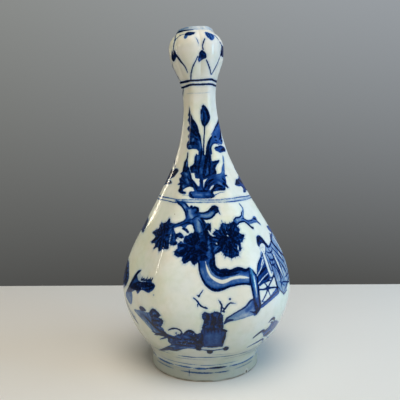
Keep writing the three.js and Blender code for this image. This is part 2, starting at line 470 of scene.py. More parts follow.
# %% Distances to a brush mark and to a filled outline
def flowing(points, closed=False, step=1.3):
    """More points on a smooth curve through rows of numbers, of which the first two are x and y."""
    given = np.array(points, float)
    count = len(given)
    if count < 3:
        return given
    if closed:
        padded = np.concatenate([given[-1:], given, given[:2]])
        spans = count
    else:
        padded = np.concatenate([2 * given[:1] - given[1:2], given, 2 * given[-1:] - given[-2:-1]])
        spans = count - 1
    result = []
    for k in range(spans):
        before, start, end, after = padded[k : k + 4]
        bits = max(1, int(np.hypot(*(end - start)[:2]) / step))
        t = (np.arange(bits) / bits)[:, None]
        bend = (2 * before - 5 * start + 4 * end - after) * t**2
        bend = bend + (3 * start - before - 3 * end + after) * t**3
        result.append(0.5 * (2 * start + (end - before) * t + bend))
    if not closed:
        result.append(given[-1:])
    return np.concatenate(result)


def nearest(x, y, x0, y0, dx, dy):
    """How far along a straight bit the nearest place is, as a share, and the distance to it."""
    t = np.clip(((x - x0) * dx + (y - y0) * dy) / max(dx * dx + dy * dy, 1e-9), 0, 1)
    return t, np.hypot(x - x0 - t * dx, y - y0 - t * dy)


def mark_distance(x, y, line):
    """Distance to a mark whose rows are x, y, half width and tone, and the tone at the nearest place."""
    best = np.full(x.shape, FAR)
    tone = np.full(x.shape, line[0][3])
    for (x0, y0, half0, tone0), (x1, y1, half1, tone1) in zip(line[:-1], line[1:]):
        t, away = nearest(x, y, x0, y0, x1 - x0, y1 - y0)
        distance = away - (half0 + t * (half1 - half0))
        nearer = distance < best
        best = np.where(nearer, distance, best)
        tone = np.where(nearer, tone0 + t * (tone1 - tone0), tone)
    return best, tone


def outline_distance(x, y, outline):
    """Distance to a closed outline, negative inside it."""
    best = np.full(x.shape, FAR * 4)
    inner = np.zeros(x.shape, bool)
    for (x0, y0), (x1, y1) in zip(outline, np.roll(outline, -1, 0)):
        best = np.minimum(best, nearest(x, y, x0, y0, x1 - x0, y1 - y0)[1])
        if y0 != y1:
            crosses = (y0 > y) != (y1 > y)
            inner ^= crosses & (x < x0 + (y - y0) * (x1 - x0) / (y1 - y0))
    return np.where(inner, -best, best)


print("points round a smoothed square:", len(flowing([(0, 0), (9, 0), (9, 9), (0, 9)], True)))

# %% Brushes
# How far round a mark the skin is worked on, in millimetres and with some to spare at the sides, and how
# far past its own edge its tone goes.
MARGIN = 4.0
SPARE = 1.25
OVERRUN = 0.2
hand = {"turn": 0.0, "flip": 1, "spread": 1.0}


def moved(points):
    """The painter can repeat a motif further round the vase, mirrored or squeezed."""
    return [(hand["turn"] + hand["flip"] * hand["spread"] * p[0], *p[1:]) for p in points]


def patches(points):
    """The points laid out flat in millimetres, and the parts of each skin that lie round them."""
    points = moved(points)
    turns = [p[0] for p in points]
    heights = [p[1] for p in points]
    middle = (min(turns) + max(turns)) / 2
    low = min(heights) - MARGIN
    high = max(heights) + MARGIN
    thin = float(min(outside(low), outside(high)))
    side = math.degrees(MARGIN / thin) * SPARE
    found = []
    for sheet in canvas.values():
        rows = slice(*np.searchsorted(sheet["height"], (low, high)))
        if rows.start >= rows.stop:
            continue
        for whole in (-360, 0, 360):
            span = (min(turns) - side + whole, max(turns) + side + whole)
            columns = slice(*np.searchsorted(sheet["turn"], span))
            if columns.start >= columns.stop:
                continue
            x, y = flat(sheet["turn"][columns][None] - whole, sheet["height"][rows][:, None], middle)
            found.append((sheet, rows, columns, *np.broadcast_arrays(x, y)))
    return [tuple(float(v) for v in flat(p[0], p[1], middle)) for p in points], found


def lay(layer, sheet, rows, columns, distance, tone):
    """New pigment covers what is under it, and takes over its tone up to a little past its own edge."""
    edge = sheet[layer + "_edge"][rows, columns]
    amount = sheet[layer + "_tone"][rows, columns]
    newer = (distance < OVERRUN) | (distance < edge)
    amount[newer] = np.broadcast_to(tone, distance.shape)[newer]
    np.minimum(edge, distance, out=edge)


def take_off(layers, sheet, rows, columns, distance):
    for layer in layers:
        edge = sheet[layer + "_edge"][rows, columns]
        np.maximum(edge, -distance, out=edge)


def listed(value, count):
    return list(value) if hasattr(value, "__len__") else [value] * count


def stroke(points, width, tone, layer="ink", ends=0.35):
    """One pull of the brush through some places. Its width, in millimetres, narrows at both ends."""
    spots, found = patches(points)
    widths = listed(width, len(spots))
    if not hasattr(width, "__len__") and len(spots) > 2:
        widths[0] = width * ends
        widths[-1] = width * ends
    tones = listed(tone, len(spots))
    line = flowing([(*spot, w / 2, t) for spot, w, t in zip(spots, widths, tones)])
    for sheet, rows, columns, x, y in found:
        lay(layer, sheet, rows, columns, *mark_distance(x, y, line))


def pool(points, tone, layer="wash"):
    """A filled patch of pigment inside a closed outline."""
    spots, found = patches(points)
    outline = flowing(spots, True)
    for sheet, rows, columns, x, y in found:
        lay(layer, sheet, rows, columns, outline_distance(x, y, outline), tone)


def scrape(points, width, layers=LAYERS):
    """Pigment taken away along a line, down to the bare clay, or the ink alone down to the wash."""
    spots, found = patches(points)
    line = flowing([(*spot, w / 2, 0) for spot, w in zip(spots, listed(width, len(spots)))])
    for sheet, rows, columns, x, y in found:
        take_off(layers, sheet, rows, columns, mark_distance(x, y, line)[0])


def bare(points):
    """A gap in the painting, inside a closed outline."""
    spots, found = patches(points)
    outline = flowing(spots, True)
    for sheet, rows, columns, x, y in found:
        take_off(LAYERS, sheet, rows, columns, outline_distance(x, y, outline))


def tint(points, width, tone, layer="wash", strength=1.0):
    """Earlier paint made deeper or paler along a line, fading over the brush's width."""
    spots, found = patches(points)
    line = flowing([(*spot, 0, tone) for spot in spots])
    for sheet, rows, columns, x, y in found:
        distance, amount = mark_distance(x, y, line)
        share = strength * np.exp(-((distance / (width / 2)) ** 2))
        tones = sheet[layer + "_tone"][rows, columns]
        tones += share * (amount - tones)


print("skins to paint:", list(canvas))

# %% Marks made of several touches
def dab(place, size, tone):
    """A round touch of the brush tip."""
    turn, height = place
    stroke([(turn - 0.01, height), (turn + 0.01, height)], size, tone)


def leaf(base, tip, width, tone, bend=0.0, belly=0.45):
    """A leaf in one press and lift of the brush: narrow, broad, then pointed."""
    middle = (
        base[0] + (tip[0] - base[0]) * belly + bend * (tip[1] - base[1]),
        base[1] + (tip[1] - base[1]) * belly - bend * (tip[0] - base[0]),
    )
    stroke([base, middle, tip], [width * 0.35, width, width * 0.12], [tone, tone, tone - 0.1])


def strokes(*rows, tone=0.93, ends=0.35):
    """Several pulls of the brush. Each row is the places, the width and, where it differs, the tone."""
    for line, width, *own in rows:
        stroke(line, width, *(own or [tone]), ends=ends)


def bark(*rows):
    """The lines of a tree. The wash is deeper along each of them, so that the wood looks round."""
    for line, width, tone in rows:
        tint(line, 3.0, 0.9, strength=0.7)
        stroke(line, width, tone)


def tints(lines, width, tone):
    for line in lines:
        tint(line, width, tone)


def thinned(lines, tone, width, ink_width, strength=0.8):
    """Short streaks where the wash and the ink over it are both thin."""
    for line in lines:
        tint(line, width, tone)
        tint(line, ink_width, tone, "ink", strength)


def veins(lines, tone, tip=0.45, width=1.2):
    """Pale veins of leaves: the ink is scraped off, and the wash below is thinner there."""
    for line in lines:
        tint(line, width, tone)
        scrape(line, [0.2, tip], ("ink",))


def repeated(motif, turn, flip=1, spread=1.0):
    """The same motif further round the vase."""
    hand.update(turn=turn, flip=flip, spread=spread)
    motif()
    hand.update(turn=0.0, flip=1, spread=1.0)


print("brushes ready")

# %% [markdown]
# Blue lines ring the vase at each change of form. The potter turned the vase on a wheel with one hand and
# held the brush with the other, so the rings are nearly level, swell and thin, and don't quite meet where
# they close.

# %% Rings
RING_STEP = 6
SWELL = 0.22
OPEN_END = 0.3


def ring(height, width, tone, start, end, phase, wobble=0.25, layer="ink", fade=0.3):
    """A line round the vase that sways, swells and pales in slow waves, and narrows where it ends."""
    count = max(3, int((end - start) / RING_STEP))
    spots = []
    widths = []
    tones = []
    for k in range(count + 1):
        turn = start + (end - start) * k / count
        angle = math.radians(turn)
        sway = math.sin(angle * 3 + phase) + 0.6 * math.sin(angle * 7 + 2 * phase)
        spots.append((turn, height + wobble * sway))
        widths.append(width * (1 + SWELL * math.sin(angle * 5 + 3 * phase)))
        tones.append(tone + fade * 0.5 * math.sin(angle * 4 + 5 * phase))
    widths[0] = width * OPEN_END
    widths[-1] = width * OPEN_END
    stroke(spots, widths, tones, layer)


def rings():
    stroke([(-180, 246.2), (-140, 246.3), (-105, 245.9), (-78, 246), (-52, 246), (-28, 246), (0, 246.1),
            (36, 246.7), (56, 246.4), (75, 246.1), (110, 246.4), (145, 246), (180, 246.2)],
           [1.6, 1.8, 1.6, 1.8, 2, 1.7, 1.6, 1.8, 1.7, 1.9, 1.6, 1.8, 1.6], 0.97)
    stroke([(-180, 242.6), (-140, 242.3), (-105, 242.1), (-79, 241.9), (-55, 242.2), (-30, 242.8),
            (1, 242.7), (40, 243), (60, 242.8), (76, 242.6), (110, 242.9), (145, 242.5), (180, 242.6)],
           [1.6, 1.5, 1.7, 1.6, 1.8, 1.7, 1.5, 1.6, 1.8, 1.6, 1.7, 1.5, 1.6], 0.95)
    stroke([(-58, 236.1), (-35, 236), (-14, 235.7), (18, 235.9), (38, 236.5)], 0.55, 0.13, "wash")
    stroke([(-74, 241.8), (-79, 239.5), (-85, 236.2), (-92, 234.5)], [0.8, 1.4, 1.8, 1.6], 0.96)
    stroke([(-89, 224.4), (-90, 222), (-91, 219.4)], [0.6, 1.6, 0.6], 0.93)
    ring(147.8, 1.9, 0.11, -40, 150, phase=1.9, layer="wash", fade=0.08)
    ring(148.9, 0.95, 0.66, -178, -31, phase=0.4, fade=0.25)
    ring(148.7, 0.7, 0.5, -33, 24, phase=2.2, fade=0.2)
    ring(149.3, 0.85, 0.6, 21, 178, phase=0.9, fade=0.2)
    ring(146.6, 1, 0.68, -178, -30, phase=1.1, fade=0.25)
    ring(146.7, 0.7, 0.5, -34, 27, phase=3, fade=0.2)
    ring(146.9, 0.9, 0.62, 23, 178, phase=1.5, fade=0.2)
    for start, end, tone in (
        (-180, -62, 0.6), (-58, -33, 0.35), (-32, -12, 0.5), (-12, 3, 0.6), (1, 22, 0.86), (24, 62, 0.55),
        (66, 175, 0.6),
    ):
        ring(11.9, 1.3, tone, start, end, phase=start / 9, wobble=0.18)
    for start, end, height, width, tone in (
        (-25, 8, 7.9, 1.05, 0.44), (9, 24, 7.9, 1.05, 0.44), (30, 58, 8.4, 0.9, 0.32),
        (-60, -34, 8.3, 0.9, 0.36), (-66, -30, 24.6, 1.05, 0.3), (-24, -6, 24.2, 1.35, 0.44),
        (-8, 10, 24.8, 1.2, 0.4), (8, 26, 24.6, 1.35, 0.46), (24, 44, 25.2, 1.2, 0.38),
        (60, 120, 24.8, 1.2, 0.36), (130, 200, 24.4, 1.2, 0.4), (-44, -20, 27, 0.75, 0.24),
        (4, 38, 27.4, 0.75, 0.23), (-30, 6, 21.2, 0.75, 0.23), (14, 50, 21.6, 0.75, 0.24),
        (-50, -8, 15.4, 0.75, 0.25), (-6, 34, 15, 0.9, 0.27),
    ):
        ring(height, width, tone, start, end, phase=start / 7, wobble=0.2)
    stroke([(-16.2, 9.6), (-15.9, 7.4), (-16.3, 5)], [0.3, 0.45, 0.2], 0.85)


rings()
print("rings painted")

# %% [markdown]
# The head carries two rows of lotus petals, as a flower bud does. Each petal is a thin outline, and the
# tips are filled with one loaded dab.

# %% Petals on the head
def petals():
    strokes(
        ([(-68, 272.5), (-66, 276), (-65, 279.2), (-61, 282), (-50, 283.1), (-37, 283.2)],
         [0.88, 0.97, 0.97, 0.88, 0.79, 0.44]),
        ([(-65, 279.2), (-69, 282.5), (-79, 285.4)], [0.88, 0.79, 0.62], 0.9),
        ([(-80, 263.8), (-87, 259.6), (-93, 255.9), (-86, 251.4), (-80, 247.2)], 0.97),
        ([(-7, 264.3), (-13, 260.4), (-19, 256.9), (-24, 253.4), (-27.5, 250), (-29, 247)],
         [0.62, 0.88, 0.97, 1.06, 1.06, 1.14]),
        ([(12, 261.3), (18, 257.8), (24, 254.8), (31, 250.6)], [0.88, 1.06, 1.14, 0.79], 0.95),
        ([(34, 250.7), (40, 254.5), (45, 258.3), (50, 262.2), (61, 266.6)], [0.79, 1.14, 1.14, 1.14, 1.41],
         0.95),
        ([(5, 269.4), (4, 272.5), (7, 275.6), (10, 277.8)], [0.79, 0.88, 0.88, 0.7]),
        ([(-10, 279.5), (-7, 277.4), (-5, 275.1), (-4, 272.9)], 0.53, 0.7),
        ([(39, 281.2), (47, 278.9), (62, 276.9), (66, 273.9)], [0.79, 0.97, 1.06, 1.23], 0.92),
        ([(-64, 268.6), (-54, 264.8), (-47, 261.2), (-41, 258.3), (-38, 255.7), (-36, 252.8)],
         [2.29, 2.11, 1.76, 1.32, 1.06, 0.62], 0.96),
    )
    pool([(-68, 272.5), (-62, 270.5), (-61, 267.2), (-66, 264.3), (-73, 263.1), (-78, 265.7), (-76, 268.9),
          (-73, 271.2)], 0.97, "ink")
    pool([(3, 269.1), (8, 267.4), (12, 265), (11, 262.5), (5, 262), (0, 261), (-5, 259.8), (-8, 261.6),
          (-5, 264.6), (-3, 267.6)], 0.95, "ink")
    tint([(-7, 261.4), (-3, 261.6)], 2.6, 0.62, "ink", 0.9)
    pool([(66, 274.6), (77, 274.2), (84.5, 271.6), (84, 267.6), (74, 265.4), (62, 266.3), (61, 269.1),
          (64, 272.5)], 0.95, "ink")
    pool([(-36, 282.4), (-31, 284.7), (-17, 284.5), (-9, 283.7), (-13, 282.1), (-22, 281.2), (-29, 281.6)],
         0.93, "ink")
    pool([(-36, 280.6), (-34, 282.2), (-26, 281.4), (-28, 279.4), (-32, 278.6)], 0.55)
    pool([(16, 283.9), (27, 283), (36, 281.4), (34, 278.8), (25, 276.3), (19, 277.8), (14, 280.2)], 0.55)
    for line in ([(17, 282.5), (18.5, 279.5)], [(22, 282.4), (23.5, 278)], [(29, 281.6), (30, 279.6)]):
        stroke(line, 1.1, 0.8)
    # A pale blue wash round the lip, as on a blue-edged rim, which also stands for the bluish light from
    # above on the lip: partly painted light.
    stroke([(-95, 288), (-50, 288.3), (0, 288.2), (45, 288.2), (95, 288)], 4, 0.13, "wash", ends=1)
    stroke([(-90, 288.6), (-60, 289), (-30, 288.9)], 1.6, 0.35, "wash")
    stroke([(-95, 285.6), (-85, 286.3), (-76, 287.5), (-50, 287.1), (-29, 286.6), (-15, 286.6)],
           [1, 1.8, 1.8, 1.5, 1.1, 0.5], 0.95)


petals()
repeated(petals, 180, -1)
ring(285.2, 0.7, 0.5, 60, 200, wobble=0.3, phase=1.5)
print("petals painted")

# %% [markdown]
# A banana plant or garden flower fills each second side of the neck: a fan of broad leaves with toothed
# edges on a rock, and one bud on a thin stem. Broad leaves are filled wash with dark strokes along them.

# %% The plant on the neck
def plant():
    left_leaf = [
        (-43, 224), (-39, 219.5), (-34, 218.5), (-29, 216.5), (-25, 213), (-22, 210), (-17, 207),
        (-12, 204.5), (-6, 201.5), (-3, 199), (-1.5, 195), (0.5, 190), (2, 184), (-9, 184), (-10, 188),
        (-17, 189.5), (-24, 189.5), (-34, 189), (-41, 190.5), (-44, 192.5), (-42, 195), (-36, 197),
        (-39, 199), (-42, 200), (-36, 203), (-44, 205), (-50, 206.5), (-46, 208), (-38, 209), (-44, 212),
        (-52, 214), (-46, 215.5), (-44, 216.5), (-52, 218), (-47, 219.5),
    ]
    pool(left_leaf, 0.86)
    for base, tip, width in (
        ((-6, 199), (-34, 217), 3.2), ((-10, 201), (-40, 215), 2.6), ((-14, 200), (-44, 207), 2.8),
        ((-8, 196), (-38, 200), 1.8), ((-20, 193), (-42, 192.5), 2.4), ((-12, 193), (-36, 194.5), 1.6),
    ):
        leaf(base, tip, width, 0.96, bend=0.05)
    stroke([(-43, 224), (-38, 219), (-31, 216), (-25, 211.5), (-18, 207), (-10, 203), (-5, 199.5),
            (-2.5, 194)], 1.5, 0.98)
    for line in (
        [(-31, 192.5), (-28, 191)], [(-25, 196), (-20, 199.5), (-16, 199)],
        [(-10, 196.5), (-6, 195), (-4, 190)],
    ):
        tint(line, 1.6, 0.5)
        tint(line, 1.4, 0.45, "ink", 0.9)
    right_leaf = [
        (9, 184), (12, 189), (16, 194), (22, 198), (29, 201), (37, 204), (46, 206.5), (56, 208.8), (68, 211),
        (78, 213), (88, 215), (99, 218.5), (92, 210), (86, 204), (80, 200), (76, 195), (66, 193),
        (56, 193.5), (46, 194), (38, 193.7), (30, 193.5), (24, 191.5), (20, 189), (17, 184),
    ]
    pool(right_leaf, 0.68)
    stroke([(10, 184), (14, 191), (20, 196.3), (27, 199.5)], [3, 2.6, 1.8, 1], 0.92)
    stroke([(19, 186), (21, 191), (27, 193.7), (36, 194.5), (46, 193.3), (58, 192.8)],
           [2.2, 1.2, 0.8, 0.8, 0.6, 0.3], 0.8)
    stroke([(28, 201.5), (40, 205), (55, 208.3), (70, 210.5), (84, 213.3), (97, 217.5)],
           [0.5, 0.9, 1.2, 2, 2.4, 0.4], 0.9)
    stroke([(36, 199.3), (42, 199.6), (49, 199.3)], [1, 1.8, 0.6], 0.93)
    stroke([(36, 196.5), (42, 196.6), (46, 196.3)], [0.6, 1.4, 0.4], 0.9)
    stroke([(58, 197.5), (66, 198), (76, 201), (86, 206)], [0.8, 1.8, 2.8, 1.2], 0.9)
    stroke([(66, 196), (72, 196.3), (78, 197)], [0.6, 1.6, 0.6], 0.85)
    tint([(46, 203), (58, 205.5), (66, 206.5)], 3, 0.55)
    tint([(48, 197.5), (58, 197), (64, 195)], 3, 0.5)
    lobe = [
        (29, 190), (34, 191.3), (40, 191.4), (48, 192), (58, 192.4), (68, 192), (75, 191), (79, 189),
        (75, 187), (66, 187), (56, 186.6), (46, 186), (38, 187.2), (31, 188),
    ]
    pool(lobe, 0.78)
    stroke([(30, 189.7), (36, 190.8), (42, 190.3)], [0.8, 1.4, 0.5], 0.9)
    stroke([(44, 191), (52, 191.4), (58, 191)], [0.5, 1.1, 0.4], 0.85)
    stroke([(50, 187.8), (62, 188.8), (70, 189.3), (77, 188.8)], [0.6, 2, 3, 1.6], 0.95)
    scrape([(29, 192.3), (35, 192.5), (41, 192), (47, 192.6)], [0.9, 1.2, 0.9, 0.2])
    bud = [
        (-1.5, 215), (-1, 219), (2, 222.5), (6, 225), (9, 226.2), (15, 224.5), (21, 222), (25.5, 219),
        (27.5, 215.5), (25, 213), (20, 210.5), (14, 208.5), (10.5, 207.2), (6.5, 209), (1.5, 212),
    ]
    pool(bud, 0.84)
    stroke([(6, 225), (10, 225.6), (17, 223.3), (23, 220), (26, 216), (23, 213), (15, 209.5)],
           [1, 1.2, 2.2, 2.6, 2.8, 2, 1.2], 0.99)
    stroke([(1, 219), (3, 222)], 1.6, 0.95)
    stroke([(1, 213), (6, 210), (10, 208)], [0.8, 1.8, 1.2], 0.97)
    stroke([(9, 212), (10, 216), (9.5, 221)], [0.8, 1.4, 0.6], 0.9)
    tint([(2.5, 214.5), (3, 218)], 2.2, 0.55)
    stroke([(10.5, 208), (9, 203.5), (6.5, 199.5), (5, 195.5), (3.3, 190), (2, 184.5)],
           [1.1, 1.05, 1, 1, 1.1, 1.3], 0.95)
    stalk = [
        (-17, 184), (-10, 184.8), (-3, 185.5), (0, 186), (3, 185), (6, 184.5), (10, 188), (16, 190),
        (18.5, 184), (18, 179.5), (25, 179.8), (34.5, 180.2), (33, 178.8), (27, 176.8), (23, 174.5),
        (21.5, 172.5), (22, 169), (18, 167.5), (8, 165.8), (0, 164.5), (-4, 164), (-8, 165.3), (-14, 165.8),
        (-16, 169), (-21, 170), (-25.5, 174.5), (-21, 176), (-18.5, 178), (-18, 181),
    ]
    pool(stalk, 0.84)
    strokes(
        ([(10, 189), (9, 183), (4, 176), (1, 170), (-1, 166)], 2.6, 0.97),
        ([(15, 188), (14, 180), (11, 173), (9, 168)], 2),
        ([(-3, 190), (-4, 183), (-8, 176), (-10, 168)], 1.6, 0.9),
        ([(-15, 183), (-15, 176), (-12, 169)], 1.4, 0.92),
        ([(-20, 171), (-22, 174), (-17, 176), (-12, 175)], 2.2, 0.95),
        ([(18, 178), (25, 178.6), (34, 179.6)], 1.4),
        ([(17, 172), (20, 175), (25, 177)], 2),
        ([(15, 169), (20, 170), (21, 173)], 2.2, 0.92),
        ([(-14, 180), (-14, 185)], 1, 0.85),
    )
    thinned([[(7, 170), (9, 173)], [(-5, 173), (-4, 170)], [(-2, 184), (-1, 181)], [(2, 169), (1, 172)],
             [(-12, 181), (-12, 183)]], 0.6, 2.4, 1.6, 0.7)
    left_low = [
        (-35, 186), (-33.5, 186), (-32, 181), (-30, 178), (-28, 175), (-25.5, 173.5), (-23, 170),
        (-20.5, 166.5), (-18, 164.5), (-15, 163.5), (-12, 161), (-8.5, 159), (-7, 157), (-8, 155.5),
        (-14, 156), (-16, 158), (-20, 159), (-25, 158.2), (-29, 156.5), (-28, 155.5), (-25, 155),
        (-24, 153.7), (-29, 153.2), (-33, 154), (-37.5, 155.5), (-36, 158), (-35.5, 160), (-39, 160),
        (-43.5, 160.3), (-39, 162), (-43.5, 165), (-39.5, 166), (-39, 168), (-45, 169), (-40, 171),
        (-40, 175), (-41.5, 178.5), (-38, 180), (-36, 182),
    ]
    pool(left_low, 0.86)
    strokes(
        ([(-34.5, 186), (-34, 182), (-37, 178), (-37, 172)], [1.2, 1.6, 3, 3.4], 0.98),
        ([(-36, 172), (-32, 171), (-28, 173)], 1.8, 0.96),
        ([(-40, 169), (-35, 167), (-30, 164)], 1.8, 0.95),
        ([(-41, 165), (-35, 163.5), (-29, 162)], 1.6, 0.95),
        ([(-41, 161), (-36, 161), (-30, 161)], 1.6, 0.96),
        ([(-33, 156), (-34, 159)], 3.4, 0.97),
        ([(-36, 156), (-31, 154.5), (-25, 154.5)], 1.8, 0.98),
        ([(-24, 171), (-20, 165.5), (-14, 160.5)], 1.8, 0.95),
        ([(-26, 166), (-20, 162), (-15, 158)], 2.2, 0.95),
    )
    thinned([[(-31, 169.5), (-28, 168.5)], [(-33, 176), (-32.5, 178)], [(-26, 164.5), (-24, 162.5)],
             [(-31, 159.5), (-29, 158.7)]], 0.45, 2, 1.6)
    middle_stalks = [
        (-16, 160), (-9, 157), (-8, 160.5), (-6.8, 165), (-4, 164.5), (-1.5, 164.5), (-1.3, 158), (1, 162),
        (5, 165), (9, 166.8), (14, 167), (22, 168.8), (30, 170), (34, 173.5), (38, 175.5), (43, 177.5),
        (48, 181.5), (54, 184), (56.5, 182.5), (53, 180), (47, 176.5), (42, 173), (39, 170), (37, 168.3),
        (42, 167.8), (41, 166.9), (36, 166.5), (35, 163), (33, 161), (35, 158), (33, 157.2), (30, 159),
        (28, 156), (20, 155.8), (14, 155.2), (9, 156), (4, 155), (-4, 155), (-12, 155.3),
    ]
    pool(middle_stalks, 0.8)
    bare([(-12.5, 163.3), (-8.5, 164.6), (-7, 162), (-7, 159.3), (-9.5, 161)])
    bare([(7, 156.6), (9.5, 158.8), (14.5, 160.6), (12, 157.5), (8.5, 156.3)])
    bare([(-20.5, 169.8), (-15.8, 169.8), (-16.2, 167), (-18.5, 164.8)])
    strokes(
        ([(-1.5, 156), (3, 160), (9, 163.5), (16, 165)], 2.2, 0.96),
        ([(4, 156), (8, 160), (16, 162.5)], 1.4),
        ([(-3.5, 164), (-3.5, 160), (-2.5, 157)], 1.2, 0.9),
        ([(-14, 161), (-12, 158), (-9, 155)], 1.6, 0.85),
        ([(0, 166), (8, 168), (14, 168.5)], 1.2, 0.9),
        ([(10, 155), (14, 158), (19, 160), (25, 159)], [2.4, 2, 2.6, 1.6], 0.95),
        ([(19, 157), (24, 157), (29, 157.2)], 2.2, 0.96),
        ([(29, 161), (32, 159.5), (35, 158)], [3, 2, 0.6], 0.98),
        ([(30, 165), (32, 163.5)], 1.8, 0.9),
        ([(36, 167.6), (41.5, 167.3)], [1.4, 0.5], 0.85),
    )
    tints([[(22, 167.6), (30, 168.3), (35, 172.5), (42, 175.6)], [(26, 165.5), (28, 164.5)],
           [(36, 165), (38, 172)]], 3.2, 0.52)
    tint([(46, 178), (50, 180.5), (55, 183)], 3, 0.3)
    tint([(48, 180.5), (49, 178.8)], 1.6, 0.5)
    tint([(22, 162), (25, 160.5)], 3, 0.5)
    scrape([(6, 166.5), (12, 167.3), (20, 168.2)], [0.5, 0.6, 0.2], ("ink",))
    rock = [
        (-20, 155), (-15, 155.5), (-8, 155.8), (-3, 155.5), (3, 156), (8, 155.3), (12, 153.5), (13, 151.5),
        (9, 150), (3, 149.8), (-5, 149.6), (-12, 149.8), (-17, 150), (-20.5, 152),
    ]
    pool(rock, 0.78)
    stroke([(-19, 154), (-17, 151.5), (-14, 150.3)], [1, 2.2, 1], 0.97)
    stroke([(-9, 155.8), (-2, 155.5), (4, 155.8)], [0.8, 1.8, 1.4], 0.98)
    stroke([(8, 150.3), (11.5, 151.7), (9, 154)], [1, 1.6, 0.8], 0.95)
    stroke([(1, 151.3), (5, 150.7), (8, 151.5)], 1, 0.93)
    tint([(-12, 153), (-4, 152.5)], 2.4, 0.5)
    tint([(2, 153), (6, 153)], 1.8, 0.55)
    stroke([(12, 152), (16, 153.2), (21, 154.4), (26, 154.6)], [1.2, 0.8, 0.6, 0.4], 0.45)
    stroke([(-24, 153.7), (-28, 152.3), (-21, 152)], 0.6, 0.5)


def neck_side_leaves():
    """The tips of the plants round the sides, where they reach into view."""
    pool([(-90, 176.5), (-84, 172.5), (-76, 171), (-70, 172.8), (-62, 173), (-56, 172), (-54, 170.7),
          (-58, 168.5), (-62, 166), (-68, 165), (-74, 164), (-70, 162.5), (-64, 161.5), (-63, 160.5),
          (-70, 159.5), (-78, 159.5), (-86, 158), (-93, 156), (-97, 161), (-91, 166), (-96, 171)], 0.9)
    stroke([(-90, 168), (-78, 168.5), (-66, 169.5), (-57, 171)], [4, 4.5, 4.5, 2.2], 0.97)
    stroke([(-80, 160), (-71, 161.8), (-64, 161)], 1.3, 0.95)
    stroke([(-90, 180), (-84, 179), (-78, 175.5), (-72, 174.5)], [2.4, 2.2, 1.6, 0.8], 0.93)
    scrape([(-79, 163), (-75, 162.6), (-71.5, 161)], [1.6, 2.2, 0.6])
    pool([(55, 159.5), (60, 161), (65, 163), (70, 163.7), (76, 163.5), (84, 166), (90, 167.5), (95, 163),
          (91, 159), (96, 155), (90, 152), (84, 153.5), (76, 152), (70, 152.6), (75, 155), (73, 157.5),
          (66, 157.6), (60, 158.3)], 0.8)
    stroke([(57, 159.5), (63, 160.5), (68, 161), (73, 160)], [0.6, 3, 4, 1.4], 0.93)
    stroke([(76, 163), (82, 161), (90, 161)], [2, 4, 2], 0.92)
    pool([(84, 173), (89, 175), (94, 172), (92, 168.5), (86, 167.5)], 0.8)


plant()
neck_side_leaves()
repeated(plant, 124, 1, 0.66)
repeated(plant, -122, -1, 0.66)
print("plants painted")

# %% [markdown]
# The belly shows an old pine or wutong tree that leans out of a garden, with three clusters of leaves.
# The trunk is a mid-blue wash between dark outlines, with one white band left bare along its turn so that
# it looks round.

